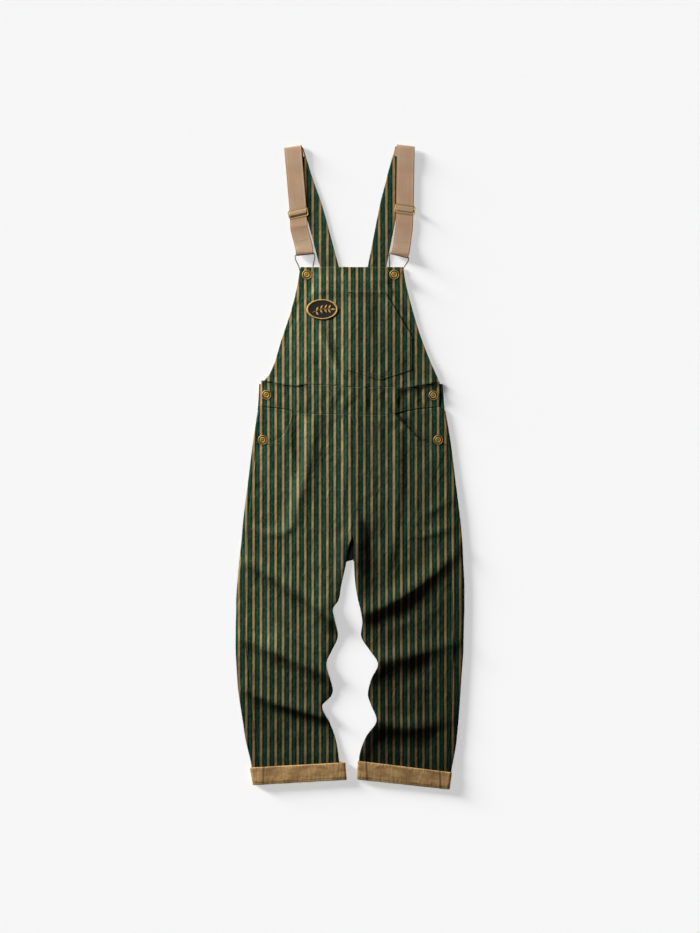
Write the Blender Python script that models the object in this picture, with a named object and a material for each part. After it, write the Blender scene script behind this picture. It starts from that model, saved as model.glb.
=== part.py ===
"""Bib dungarees laid flat on their back with the straps up.

Each piece that is cut, sewn or riveted on is one closed solid. The garment lies
in the XY plane with its straps towards +Y and its front up. Z = 0 is the surface
it lies on. Sizes below are millimetres; MM turns them into metres.
"""

from collections import namedtuple
from math import atan2, cos, exp, hypot, pi, radians, sin

import bmesh
import bpy
from mathutils import Vector

MM = 0.001

# ---- driving sizes -------------------------------------------------------------
CLOTH = 1.5             # twill with its weave, one layer
BAND = 2.0              # two layers pressed flat: waistbands and straps
WEBBING = 1.2           # elastic webbing
SEAM_GAP = 0.3          # clearance between neighbouring pieces
BAND_SEAM_GAP = 0.5     # a little more below the waistband, whose edge is curved

CENTRE_X = 6.9          # centre front and centre back seam
HIP_LEVEL = 5.9         # top of the front panel at the hips
THIGH_LEVEL = 6.4       # top of the front panel in the middle of a leg
INSEAM_LEVEL = 3.9      # top of the front panel at its inner edge
INSEAM_ROUND = 16.0     # width over which a leg falls to its inseam
SEAM_DIP = 0.9          # depth of the groove along the centre front seam
SEAM_DIP_WIDTH = 14.0
HIP_ROLL = 2.6          # radius of the side fold at the hips
LEG_ROLL = 3.5          # radius of the side fold down the leg

STRAP_WIDTH = 37.4
WEBBING_WIDTH = 36.0
WIRE = 1.2              # radius of the brass wire
CUFF_WALL = 1.6
BUTTON_RADIUS = 10.0
BUTTON_HEAD = 3.2

# ---- the outline of the legs: one row for each height ---------------------------
LegRow = namedtuple("LegRow", "y left_out left_in right_in right_out")
LEG_ROWS = [
    LegRow(127.0, -192.0, 6.9, 6.9, 198.5),
    LegRow(116.6, -193.6, 6.9, 6.9, 200.1),
    LegRow(55.7, -203.1, 6.9, 6.9, 210.6),
    LegRow(-28.4, -213.6, 6.9, 6.9, 221.1),
    LegRow(-112.4, -224.1, 6.9, 6.9, 231.6),
    LegRow(-146.0, -227.0, 6.9, 6.9, 234.6),
    LegRow(-160.7, -228.3, -0.8, 8.6, 235.8),
    LegRow(-204.8, -233.1, -8.8, 9.0, 237.9),
    LegRow(-246.8, -236.7, -18.3, 11.6, 240.0),
    LegRow(-280.4, -238.8, -24.6, 17.4, 240.0),
    LegRow(-299.2, -238.8, -36.1, 22.3, 240.0),
    LegRow(-326.6, -239.6, -30.9, 26.2, 239.2),
    LegRow(-358.1, -240.0, -26.2, 24.4, 238.4),
    LegRow(-385.4, -240.0, -38.2, 41.6, 237.9),
    LegRow(-412.7, -238.6, -49.8, 59.0, 236.2),
    LegRow(-444.2, -236.7, -42.4, 45.8, 233.7),
    LegRow(-469.4, -234.6, -36.5, 38.9, 232.1),
    LegRow(-484.1, -232.5, -41.4, 38.4, 231.0),
    LegRow(-503.0, -229.7, -58.8, 44.7, 229.5),
    LegRow(-536.6, -224.1, -44.1, 55.7, 226.6),
    LegRow(-574.4, -217.8, -30.9, 34.2, 222.4),
    LegRow(-616.4, -207.5, -23.9, 20.4, 214.5),
    LegRow(-668.0, -201.0, -19.3, 19.9, 206.5),
]

# Outseams, which lie on top a little inside the outline.
SeamRow = namedtuple("SeamRow", "y left right")
OUTSEAM_ROWS = [
    SeamRow(127.0, -186.0, 191.5),
    SeamRow(55.7, -196.0, 203.6),
    SeamRow(34.7, -197.8, 206.0),
    SeamRow(-57.8, -208.0, 208.5),
    SeamRow(-116.6, -214.0, 210.6),
    SeamRow(-217.4, -216.7, 214.5),
    SeamRow(-364.4, -217.8, 216.5),
    SeamRow(-479.9, -207.3, 215.0),
    SeamRow(-574.4, -196.8, 208.5),
    SeamRow(-668.0, -182.0, 196.0),
]

# Scooped mouths of the hip pockets.
ScoopRow = namedtuple("ScoopRow", "y left right")
SCOOP_ROWS = [
    ScoopRow(127.0, -121.0, 88.0),
    ScoopRow(116.6, -122.2, 93.0),
    ScoopRow(97.7, -124.7, 106.7),
    ScoopRow(80.9, -131.0, 121.4),
    ScoopRow(68.2, -138.4, 133.6),
    ScoopRow(58.8, -147.4, 143.4),
    ScoopRow(52.5, -161.1, 158.1),
    ScoopRow(48.3, -178.9, 177.0),
]
SCOOP_BOTTOM = 44.0
FRONT_TOP = 116.6       # height at which the rows start to follow the waistband
POCKET_LAP = 14.0       # how far the facing reaches under the front panel

# Heights between which a change comes in: the first has none of it, the second all.
HIP_BEGINS = (-120.0, 20.0)
ROLL_NARROWS = (-100.0, 40.0)
FORK_OPENS = (-150.0, -190.0)
HEM_CLIMBS = (-585.0, -608.0)
FOLDS_ABOVE_HEM = (-622.0, -560.0)
FOLDS_BELOW_BAND = (116.6, 96.0)
ROWS_MEET_BAND = (60.0, 116.6)
ROWS_MEET_HEM = (-440.0, -610.0)
# Distances in from the outer edge over which the side fold settles and folds begin.
SIDE_SETTLES = (14.0, 50.0)
SIDE_FOLDS = (1.0, 12.0)

BACK_FORK = -180.0      # the back panels part below here
BACK_INSET = 2.0        # the back's inner edge lies this far inside the front's

# Seams across the body: heights along X.
EdgePoint = namedtuple("EdgePoint", "x y")
BAND_BOTTOM = [
    EdgePoint(-200.0, 127.0), EdgePoint(-185.0, 126.0), EdgePoint(-134.0, 120.7),
    EdgePoint(-115.0, 115.5), EdgePoint(-96.0, 111.5), EdgePoint(2.7, 109.0), EdgePoint(72.0, 108.0),
    EdgePoint(97.0, 112.0), EdgePoint(137.0, 120.7), EdgePoint(205.0, 127.0),
]
BAND_TOP = [
    EdgePoint(-190.0, 180.5), EdgePoint(-178.0, 179.6), EdgePoint(-127.0, 169.5),
    EdgePoint(-85.5, 171.0), EdgePoint(-31.0, 170.0), EdgePoint(20.0, 166.0),
    EdgePoint(82.5, 167.0), EdgePoint(116.0, 164.5), EdgePoint(185.0, 177.0),
    EdgePoint(200.0, 178.0),
]
BAND_ENDS = (-186.0, 187.6)
BACK_BAND_TOP = 173.0
BACK_BAND_BOTTOM = 118.0

# Bib outline.
BibRow = namedtuple("BibRow", "y left right")
BIB_ROWS = [
    BibRow(418.3, -103.7, 111.3),
    BibRow(391.7, -108.6, 115.3),
    BibRow(366.4, -113.2, 120.8),
    BibRow(341.2, -119.5, 127.5),
    BibRow(316.1, -126.8, 134.4),
    BibRow(290.9, -135.2, 142.0),
    BibRow(265.7, -143.8, 150.6),
    BibRow(240.5, -151.0, 160.2),
    BibRow(215.2, -159.0, 170.3),
    BibRow(190.1, -170.0, 181.2),
    BibRow(165.0, -180.0, 186.5),
]
BIB_TOP = 418.3
BACK_BAND_ROWS = [
    BibRow(BACK_BAND_BOTTOM, -193.4, 198.0),
    BibRow(145.5, -191.4, 196.0),
    BibRow(BACK_BAND_TOP, -190.4, 194.0),
]
BackBibRow = namedtuple("BackBibRow", "y left right")
BACK_BIB_ROWS = [
    BackBibRow(381.0, -66.0, 76.0),
    BackBibRow(341.0, -90.0, 100.0),
    BackBibRow(291.0, -116.0, 125.0),
    BackBibRow(241.0, -137.0, 147.0),
    BackBibRow(203.0, -154.0, 163.0),
    BackBibRow(173.0, -170.0, 176.0),
]

# Bib pocket: straight left side, slanted mouth, pointed bottom.
POCKET_LEFT = -6.7
POCKET_RIGHT = 130.8
POCKET_TOP = 367.5
POCKET_MOUTH_LEFT = 72.0    # where the slanted mouth starts along the top
POCKET_CORNER = 271.9       # height at which the mouth meets the right side
POCKET_POINT = EdgePoint(63.6, 181.0)
POCKET_SIDE_BOTTOM = 203.0

# ---- folds: a ridge along a curve from start through middle to end --------------
Fold = namedtuple("Fold", "panel start middle end upper lower rise_start rise_middle rise_end")
FOLDS = [
    # crosswise folds of the left leg
    Fold("left", (-228, -190), (-125, -236), (-34, -286), 17, 13, 6.5, 9.0, 6.0),
    Fold("left", (-130, -262), (-90, -300), (-30, -330), 12, 9, 0.0, 3.0, 5.0),
    Fold("left", (-232, -352), (-144, -384), (-44, -424), 18, 12, 4.5, 7.5, 6.5),
    Fold("left", (-115, -330), (-94, -350), (-60, -372), 13, 9, 0.0, 3.0, 0.0),
    Fold("left", (-222, -458), (-146, -492), (-40, -522), 18, 12, 4.5, 7.5, 6.0),
    Fold("left", (-190, -590), (-120, -572), (-50, -586), 16, 14, 0.0, 3.0, 0.0),
    # crosswise folds of the right leg
    Fold("right", (139, -154), (179, -148), (215, -131), 12, 9, 0.0, 3.5, 2.0),
    Fold("right", (24, -300), (116, -254), (232, -146), 18, 13, 8.0, 8.0, 4.5),
    Fold("right", (34, -372), (110, -330), (200, -296), 14, 12, 0.0, 3.0, 0.0),
    Fold("right", (46, -420), (125, -398), (236, -364), 18, 13, 8.0, 7.5, 4.0),
    Fold("right", (44, -488), (116, -480), (200, -452), 15, 13, 3.0, 2.5, 0.0),
    Fold("right", (54, -546), (137, -540), (216, -514), 18, 13, 8.0, 7.0, 3.0),
    # edge of the left pocket bag, showing through
    Fold("left", (-92, 88), (-97, 20), (-138, -130), 9, 9, 0.0, 2.8, 1.6),
    # soft lengthwise folds beside the centre front
    Fold("left", (-14, 70), (-14, -10), (-20, -104), 11, 11, 0.6, 2.6, 0.8),
    Fold("right", (84, 92), (89, -30), (97, -188), 12, 10, 0.8, 3.4, 3.0),
    Fold("right", (36, -150), (46, -190), (60, -250), 13, 13, 0.0, 3.4, 0.0),
    # bib: slack under the patch, and the middle line
    Fold("bib", (-52, 292), (-36, 246), (-17, 182), 9, 12, 0.0, 3.2, 1.4),
    Fold("bib", (-104, 250), (-84, 226), (-70, 196), 12, 14, 0.0, 2.4, 0.0),
    Fold("bib", (26, 352), (30, 300), (34, 232), 9, 9, 0.0, 1.6, 0.0),
    # puckers of the waistband
    Fold("band", (-32, 170), (-22, 158), (-12, 150), 5, 5, 0.0, 1.4, 0.0),
    Fold("band", (30, 166), (36, 150), (38, 132), 6, 6, 0.8, 1.2, 0.0),
    Fold("band", (86, 166), (108, 152), (118, 134), 7, 7, 1.2, 1.0, 0.0),
]
FOLD_STEPS = 10

# ---- cuffs: corners of each ring -------------------------------------------------
Cuff = namedtuple("Cuff", "top_out top_in bottom_in bottom_out")
CUFFS = {
    "left": Cuff((-210.0, -631.5), (-9.9, -620.6), (-6.9, -656.2), (-203.9, -667.4)),
    "right": Cuff((214.0, -641.6), (16.0, -617.4), (15.1, -655.6), (209.2, -676.6)),
}
HEM_INSET = 3.0             # the leg ends this far above the cuff's fold
CUFF_LIFT = CUFF_WALL + SEAM_GAP

# ---- straps, sliders, buckles -----------------------------------------------------
Strap = namedtuple("Strap", "strap_axis webbing_axis slider_place slider_tilt buckle_bar button")
STRAPS = {
    "left": Strap([(-31.0, 372.0), (-41.8, 413.5), (-75.0, 537.4), (-98.0, 602.5), (-117.0, 664.0)],
                  [(-120.1, 672.0), (-109.6, 548.0), (-107.0, 500.0)],
                  141.0, 12.0, (-95.0, 446.0), (-90.3, 402.2)),
    "right": Strap([(47.6, 372.0), (55.7, 414.3), (81.7, 546.6), (100.5, 620.0), (113.5, 666.0)],
                   [(117.4, 674.0), (115.1, 538.6), (113.3, 500.0)],
                   135.0, -8.0, (104.0, 443.5), (93.0, 402.2)),
}
SIDE_BUTTONS = {
    "waist_button_left": (-175.1, 150.2),
    "waist_button_right": (174.9, 149.1),
    "hip_button_left": (-183.1, 55.7),
    "hip_button_right": (185.0, 55.7),
}
PATCH_CENTRE = EdgePoint(-58.2, 329.7)
PATCH_HALF = (33.0, 21.0)
PATCH_THICKNESS = 1.6

SIDES = ("left", "right")


# ---- small helpers -----------------------------------------------------------------
def smooth(low, high, value):
    """0 below low, 1 above high, with a soft step between; low may exceed high."""
    part = min(1.0, max(0.0, (value - low) / (high - low)))
    return part * part * (3.0 - 2.0 * part)


def lookup(table, key, column, value):
    """Value of a column at a height or place, on a smooth curve through the rows."""
    rows = sorted(table, key=lambda row: getattr(row, key))
    places = [getattr(row, key) for row in rows]
    values = [getattr(row, column) for row in rows]
    if value <= places[0]:
        return values[0]
    if value >= places[-1]:
        return values[-1]
    last = len(rows) - 1
    index = max(i for i in range(last) if places[i] <= value)

    def slope(i):
        before, after = max(i - 1, 0), min(i + 1, last)
        return (values[after] - values[before]) / (places[after] - places[before])

    span = places[index + 1] - places[index]
    t = (value - places[index]) / span
    rise = (2 * t ** 3 - 3 * t ** 2 + 1) * values[index]
    rise += (t ** 3 - 2 * t ** 2 + t) * span * slope(index)
    rise += (3 * t ** 2 - 2 * t ** 3) * values[index + 1]
    return rise + (t ** 3 - t ** 2) * span * slope(index + 1)


def mix(a, b, t):
    return a + (b - a) * t


def fold_height(panel, x, y):
    """Height that the folds of a panel add at a point."""
    height = 0.0
    for fold in FOLDS:
        if fold.panel != panel:
            continue
        best, best_t, side = None, 0.0, 1.0
        for step in range(FOLD_STEPS):
            t0, t1 = step / FOLD_STEPS, (step + 1) / FOLD_STEPS
            ax, ay = fold_point(fold, t0)
            bx, by = fold_point(fold, t1)
            dx, dy = bx - ax, by - ay
            part = ((x - ax) * dx + (y - ay) * dy) / (dx * dx + dy * dy)
            part = min(1.0, max(0.0, part))
            away = hypot(x - ax - dx * part, y - ay - dy * part)
            if best is None or away < best:
                best, best_t = away, mix(t0, t1, part)
                side = dx * (y - ay) - dy * (x - ax)
        rise = mix(fold.rise_start, fold.rise_middle, min(1.0, 2 * best_t))
        if best_t > 0.5:
            rise = mix(fold.rise_middle, fold.rise_end, 2 * best_t - 1)
        width = fold.upper if side > 0 else fold.lower
        height += rise * exp(-(best / width) ** 2)
    return height


def fold_point(fold, t):
    """Point of the fold's curve, which passes through its middle at t = 0.5."""
    point = []
    for a, m, b in zip(fold.start, fold.middle, fold.end):
        handle = 2 * m - (a + b) / 2
        point.append((1 - t) ** 2 * a + 2 * t * (1 - t) * handle + t * t * b)
    return point


def make_material(name, colour, roughness, metallic=0.0):
    material = bpy.data.materials.new(name)
    material.use_nodes = True
    shader = material.node_tree.nodes["Principled BSDF"]
    shader.inputs["Base Color"].default_value = (*colour, 1.0)
    shader.inputs["Roughness"].default_value = roughness
    shader.inputs["Metallic"].default_value = metallic
    material.diffuse_color = (*colour, 1.0)
    return material


def make_object(name, mesh_builder, colour, roughness=0.9, metallic=0.0):
    """Object from a bmesh in millimetres, with a material of its own."""
    bmesh.ops.scale(mesh_builder, vec=(MM, MM, MM), verts=mesh_builder.verts)
    bmesh.ops.recalc_face_normals(mesh_builder, faces=mesh_builder.faces)
    mesh = bpy.data.meshes.new(name)
    mesh_builder.to_mesh(mesh)
    mesh_builder.free()
    mesh.shade_smooth()
    mesh.set_sharp_from_angle(angle=radians(35))
    mesh.materials.append(make_material(name + "_finish", colour, roughness, metallic))
    piece = bpy.data.objects.new(name, mesh)
    bpy.context.scene.collection.objects.link(piece)
    return piece


def wall(name, outside, inside, colour, ring=False):
    """Closed solid between two grids of points, row by row; ring joins row ends."""
    build = bmesh.new()
    skins = [[[build.verts.new(p) for p in row] for row in grid] for grid in (outside, inside)]
    rows, columns = len(outside), len(outside[0])
    across = columns if ring else columns - 1
    for skin in skins:
        for i in range(rows - 1):
            for j in range(across):
                k = (j + 1) % columns
                build.faces.new((skin[i][j], skin[i][k], skin[i + 1][k], skin[i + 1][j]))
    top, under = skins
    for i in (0, rows - 1):
        for j in range(across):
            k = (j + 1) % columns
            build.faces.new((top[i][j], top[i][k], under[i][k], under[i][j]))
    if not ring:
        for j in (0, columns - 1):
            for i in range(rows - 1):
                build.faces.new((top[i][j], top[i + 1][j], under[i + 1][j], under[i][j]))
    return make_object(name, build, colour)


def sheet(name, points, thickness, colour):
    """Cloth wall under a grid of points on its upper side."""
    under = [[(x, y, z - thickness) for x, y, z in row] for row in points]
    return wall(name, points, under, colour)


def lifted(points, height):
    return [[(x, y, z + height) for x, y, z in row] for row in points]


# ---- colours -------------------------------------------------------------------------
TWILL = (0.035, 0.052, 0.030)
TWILL_REVERSE = (0.27, 0.19, 0.085)
KHAKI_WEBBING = (0.40, 0.28, 0.18)
BRASS = (0.62, 0.44, 0.16)
PATCH_GROUND = (0.03, 0.035, 0.03)


# ---- the legs ------------------------------------------------------------------------
def hem_shift(side, x, y):
    """How far a row is moved so that it runs along the cuff at the hem."""
    cuff = CUFFS[side]
    slope = (cuff.bottom_out[1] - cuff.bottom_in[1]) / (cuff.bottom_out[0] - cuff.bottom_in[0])
    middle = (cuff.bottom_out[0] + cuff.bottom_in[0]) / 2
    return slope * (x - middle) * smooth(*ROWS_MEET_HEM, y)


def hem_height(side):
    cuff = CUFFS[side]
    return (cuff.bottom_out[1] + cuff.bottom_in[1]) / 2 + HEM_INSET


def band_shift(x, y):
    """How far a row is moved so that it runs along the waistband's lower seam."""
    edge = lookup(BAND_BOTTOM, "x", "y", x) - BAND_SEAM_GAP
    return (edge - FRONT_TOP) * smooth(*ROWS_MEET_BAND, y)


def outline(side, y):
    """Outer and inner edge of a leg at a height."""
    outer = lookup(LEG_ROWS, "y", side + "_out", y)
    inner = lookup(LEG_ROWS, "y", side + "_in", y)
    return outer, inner


def outward(side):
    return -1.0 if side == "left" else 1.0


def lift(y):
    """Height of the cloth's underside: it climbs onto the cuff's lower wall."""
    return CUFF_LIFT * smooth(*HEM_CLIMBS, y)


def roll_radius(y):
    return mix(LEG_ROLL, HIP_ROLL, smooth(*ROLL_NARROWS, y))


def edge_round(distance, width):
    """0 at an edge to 1 a width away, along a quarter ellipse."""
    part = min(1.0, max(0.0, distance / width))
    return (1.0 - (1.0 - part) ** 2) ** 0.5


def front_height(side, x, y):
    """Top of the front leg, and of the back leg's strip beside the outseam."""
    outer, inner = outline(side, y)
    roll = 2 * roll_radius(y)
    middle = mix(THIGH_LEVEL, HIP_LEVEL, smooth(*HIP_BEGINS, y))
    from_outer = abs(x - outer)
    from_inner = abs(x - inner)
    height = mix(roll, middle, smooth(*SIDE_SETTLES, from_outer))
    fork = smooth(*FORK_OPENS, y)
    fall = (middle - INSEAM_LEVEL) * (1.0 - edge_round(from_inner, INSEAM_ROUND))
    seam_dip = SEAM_DIP * (1.0 - smooth(0.0, SEAM_DIP_WIDTH, from_inner))
    height -= mix(seam_dip, fall, fork)
    share = smooth(*FOLDS_ABOVE_HEM, y) * smooth(*FOLDS_BELOW_BAND, y) * smooth(*SIDE_FOLDS, from_outer)
    return height + share * fold_height(side, x, y) + lift(y)


LEG_STEP = 13.2         # between rows of a leg
FRONT_ACROSS = (0.0, 0.07, 0.19, 0.32, 0.45, 0.58, 0.71, 0.83, 0.93, 1.0)


def leg_levels(side):
    """Heights of the rows from the hem up to the pocket mouth."""
    low = hem_height(side)
    count = round((SCOOP_BOTTOM - low) / LEG_STEP / 2) * 2
    return [mix(low, SCOOP_BOTTOM, i / count) for i in range(count + 1)]


def front_leg(side):
    """Front leg with its pocket scoop, from the hem to the waistband."""
    out = outward(side)
    heights = leg_levels(side) + [row.y for row in reversed(SCOOP_ROWS) if row.y <= FRONT_TOP]
    grid = []
    for y in heights:
        centre = CENTRE_X + out * SEAM_GAP / 2
        inner = out * max(out * outline(side, y)[1], out * centre)
        if y > SCOOP_BOTTOM:
            outer = lookup(SCOOP_ROWS, "y", side, y)
        else:
            outer = lookup(OUTSEAM_ROWS, "y", side, y) - out * SEAM_GAP / 2
        row = []
        for part in FRONT_ACROSS:
            x = mix(outer, inner, part)
            shifted = y + hem_shift(side, x, y) + band_shift(x, y)
            row.append((x, shifted, front_height(side, x, y)))
        grid.append(row)
    return sheet("front_leg_" + side, grid, CLOTH, TWILL)


ROLL_STEPS = 4
BACK_HIP_LEVELS = [56.0, 68.0, 84.0, 100.0, BACK_BAND_BOTTOM - SEAM_GAP]


def back_leg(side):
    """Back leg: flat on the ground, rolled round the side fold up to the outseam."""
    out = outward(side)
    outside, inside = [], []
    for y in leg_levels(side)[::2] + BACK_HIP_LEVELS:
        outer, inner = outline(side, y)
        if y > BACK_FORK:
            inner = CENTRE_X + out * SEAM_GAP / 2
        else:
            inner += out * BACK_INSET
        radius = roll_radius(y)
        ground = lift(y)
        turn = outer - out * radius
        seam = lookup(OUTSEAM_ROWS, "y", side, y) + out * SEAM_GAP / 2
        skin = [(inner, ground), (mix(inner, turn, 0.5), ground)]
        lining = [(inner, ground + CLOTH), (mix(inner, turn, 0.5), ground + CLOTH)]
        for step in range(ROLL_STEPS + 1):
            angle = -pi / 2 + pi * step / ROLL_STEPS
            for path, reach in ((skin, radius), (lining, radius - CLOTH)):
                path.append((turn + out * reach * cos(angle), ground + radius + reach * sin(angle)))
        top = front_height(side, seam, y)
        skin.append((seam, top))
        lining.append((seam, top - CLOTH))
        for grid, path in ((outside, skin), (inside, lining)):
            grid.append([(x, y + hem_shift(side, x, y), z) for x, z in path])
    return wall("back_leg_" + side, outside, inside, TWILL)


CUFF_INNER_RADIUS = 3.2     # at the inner end of the ring, where it is looser
CUFF_SETTLES = (0.0, 0.35)  # part of its width over which it comes down from the side


def cuff(side):
    """Turned-up cuff: a flattened ring round the hem, its reverse side out."""
    out = outward(side)
    corners = CUFFS[side]
    outside, inside = [], []
    columns = len(FRONT_ACROSS)
    for t in (0.0, 0.5, 1.0):
        edge_out = [mix(a, b, t) for a, b in zip(corners.top_out, corners.bottom_out)]
        edge_in = [mix(a, b, t) for a, b in zip(corners.top_in, corners.bottom_in)]
        radius = LEG_ROLL + SEAM_GAP
        centre_z = CUFF_LIFT + LEG_ROLL
        settled = 2 * LEG_ROLL - THIGH_LEVEL
        for grid, grow in ((outside, CUFF_WALL), (inside, 0.0)):
            turn = edge_out[0] - out * (radius + CUFF_WALL)
            path = []
            for step in range(ROLL_STEPS * 2 + 1):
                angle = -pi / 2 + pi * step / (ROLL_STEPS * 2)
                reach = radius + grow
                path.append((turn + out * reach * cos(angle), centre_z + reach * sin(angle)))
            inner_turn = edge_in[0] + out * (CUFF_INNER_RADIUS + CUFF_WALL)
            for j in range(1, columns):
                x = mix(turn, inner_turn, j / columns)
                sag = settled * smooth(*CUFF_SETTLES, j / columns)
                path.append((x, centre_z + radius - sag + grow))
            low, high = CUFF_LIFT - SEAM_GAP - grow, centre_z + radius - settled + grow
            half = (high - low) / 2
            for step in range(ROLL_STEPS + 1):
                angle = pi / 2 - pi * step / ROLL_STEPS
                path.append((inner_turn - out * (CUFF_INNER_RADIUS + grow) * cos(angle),
                             (high + low) / 2 + half * sin(angle)))
            middle = mix(turn, inner_turn, 0.5)
            path.append((middle, low))
            slope = (edge_out[1] - edge_in[1]) / (edge_out[0] - edge_in[0])
            grid.append([(x, edge_in[1] + slope * (x - edge_in[0]), z) for x, z in path])
    return wall("cuff_" + side, outside, inside, TWILL_REVERSE, ring=True)


FACING_RAMP = 20.0      # width over which the facing comes down from the side seam


def facing_height(side, x, y):
    """Top of the pocket facing: low under the front panel, up at the side seam."""
    seam = lookup(OUTSEAM_ROWS, "y", side, y)
    low = BAND + SEAM_GAP + CLOTH
    return mix(2 * roll_radius(y), low, smooth(0.0, FACING_RAMP, abs(x - seam)))


FACING_LEVELS = (SCOOP_BOTTOM + 1.0, 51.0, 56.0, 66.0, 78.0, 92.0, 106.0, FRONT_TOP - 0.6)
FACING_ACROSS = (0.0, 0.12, 0.26, 0.45, 0.7, 1.0)
FACING_STEP = 26.0      # beside the side seam the facing ends above the scoop's edge
FACING_RISE = 19.0
FACING_SLOPE = 0.25


def facing(side):
    """Pocket facing behind the scooped mouth; it carries the lower side button."""
    out = outward(side)
    grid = []
    for y in FACING_LEVELS:
        scoop = lookup(SCOOP_ROWS, "y", side, max(y, SCOOP_ROWS[-1].y))
        inner = scoop - out * POCKET_LAP
        seam = lookup(OUTSEAM_ROWS, "y", side, y)
        outer = lookup(OUTSEAM_ROWS, "y", side, y + band_shift(seam, y)) - out * SEAM_GAP / 2
        row = []
        for part in FACING_ACROSS:
            x = mix(outer, inner, part)
            rise = band_shift(x, y)
            if not grid and abs(x - outer) < FACING_STEP:
                rise = FACING_SLOPE * min(abs(x - outer), FACING_RISE)
            row.append((x, y + rise, facing_height(side, x, y)))
        grid.append(row)
    return sheet("pocket_facing_" + side, grid, CLOTH, TWILL)


# ---- waistbands ------------------------------------------------------------------------
BAND_LEVEL = 4.9        # top of the front waistband
BAND_ACROSS = (0.0, 0.03, 0.08, 0.15, 0.22, 0.29, 0.36, 0.41, 0.45, 0.49, 0.54, 0.58, 0.62,
               0.67, 0.72, 0.76, 0.80, 0.85, 0.92, 0.97, 1.0)
BAND_UP = (0.0, 0.22, 0.42, 0.6, 0.78, 1.0)


def band_height(x, y):
    return BAND_LEVEL + fold_height("band", x, y)


def front_band():
    """Front waistband, puckered a little, between bib and legs."""
    grid = []
    for part in BAND_UP:
        row = []
        for place in BAND_ACROSS:
            x = mix(BAND_ENDS[0], BAND_ENDS[1], place)
            low = lookup(BAND_BOTTOM, "x", "y", x)
            high = lookup(BAND_TOP, "x", "y", x) - SEAM_GAP
            y = mix(low, high, part)
            row.append((x, y, band_height(x, y)))
        grid.append(row)
    return sheet("waistband_front", grid, BAND, TWILL)


def flat_panel(name, rows, thickness, colour):
    """Panel flat on the ground between the left and right edge of each row."""
    grid = []
    for row in rows:
        grid.append([(mix(row.left, row.right, part), row.y, thickness) for part in (0.0, 0.5, 1.0)])
    return sheet(name, grid, thickness, colour)


def back_band():
    return flat_panel("waistband_back", BACK_BAND_ROWS, BAND, TWILL)


def back_bib():
    rows = [row._replace(y=max(row.y, BACK_BAND_TOP + SEAM_GAP)) for row in BACK_BIB_ROWS]
    return flat_panel("back_bib", rows, CLOTH, TWILL)


# ---- bib, its pocket and patch -----------------------------------------------------------
BIB_REST = 2.4          # underside of the bib over the back bib
BIB_ON_STRAPS = 4.5     # and over the straps' sewn ends
BIB_CORNER = 1.0        # and at its free corners
STRAPS_BEGIN = (352.0, 367.0)
STRAPS_END = (404.0, 388.0)
CORNERS_SETTLE = (262.0, 186.0)
BEYOND_BACK = (0.0, 10.0)   # distance past the back bib over which the bib comes down
BIB_FOLDS_TOP = (BIB_TOP, 396.0)
BIB_FOLDS_BOTTOM = (166.0, 186.0)
PATCH_FLAT = (0.9, 1.3)     # no folds within the first, all beyond the second
PATCH_FLAT_HALF = (44.0, 32.0)


def bib_height(x, y):
    """Top of the bib: carried by the back bib and the straps, low at its corners."""
    left = lookup(BACK_BIB_ROWS, "y", "left", y)
    right = lookup(BACK_BIB_ROWS, "y", "right", y)
    beyond = max(left - x, x - right)
    carried = mix(BIB_REST, BIB_ON_STRAPS, smooth(*STRAPS_BEGIN, y) * smooth(*STRAPS_END, y))
    free = mix(BIB_CORNER, BIB_REST, smooth(*CORNERS_SETTLE, y))
    under = mix(carried, free, smooth(*BEYOND_BACK, beyond))
    from_patch = hypot((x - PATCH_CENTRE.x) / PATCH_FLAT_HALF[0],
                       (y - PATCH_CENTRE.y) / PATCH_FLAT_HALF[1])
    share = smooth(*BIB_FOLDS_TOP, y) * smooth(*BIB_FOLDS_BOTTOM, y) * smooth(*PATCH_FLAT, from_patch)
    return under + CLOTH + share * fold_height("bib", x, y)


def pocket_bottom(x):
    """Lower edge of the bib pocket, pointed in its middle."""
    half = POCKET_POINT.x - POCKET_LEFT if x < POCKET_POINT.x else POCKET_RIGHT - POCKET_POINT.x
    part = min(1.0, abs(x - POCKET_POINT.x) / half)
    return mix(POCKET_POINT.y, POCKET_SIDE_BOTTOM, part)


def pocket_side(y):
    """Right edge of the pocket: straight, then slanted along the mouth."""
    part = (y - POCKET_CORNER) / (POCKET_TOP - POCKET_CORNER)
    return mix(POCKET_RIGHT, POCKET_MOUTH_LEFT, min(1.0, max(0.0, part)))


BIB_LEVELS = (404.0, 396.0, 387.0, 377.0, POCKET_TOP, 351.0, 335.0, 319.0, 303.0, 287.0,
              POCKET_CORNER, 256.0, 240.0, 222.0)
BIB_LEFT_COLUMNS = 7
BIB_POCKET_COLUMNS = 6
BIB_RIGHT_COLUMNS = 3


def bib_row(y, edge_y=None):
    """Points along a row of the bib; edge_y gives another height for each X."""
    left = lookup(BIB_ROWS, "y", "left", y)
    right = lookup(BIB_ROWS, "y", "right", y)
    stops = [mix(left, POCKET_LEFT, i / BIB_LEFT_COLUMNS) for i in range(BIB_LEFT_COLUMNS)]
    side = pocket_side(y)
    stops += [mix(POCKET_LEFT, side, i / BIB_POCKET_COLUMNS) for i in range(BIB_POCKET_COLUMNS)]
    stops += [mix(side, right, i / BIB_RIGHT_COLUMNS) for i in range(BIB_RIGHT_COLUMNS + 1)]
    row = []
    for x in stops:
        height = edge_y(x) if edge_y else y
        row.append((x, height, bib_height(x, height)))
    return row


def bib_grid():
    grid = [bib_row(BIB_TOP)]
    grid += [bib_row(y) for y in BIB_LEVELS]
    grid.append(bib_row(POCKET_SIDE_BOTTOM, pocket_bottom))
    grid.append(bib_row(BIB_ROWS[-1].y, lambda x: lookup(BAND_TOP, "x", "y", x)))
    return grid


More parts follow.
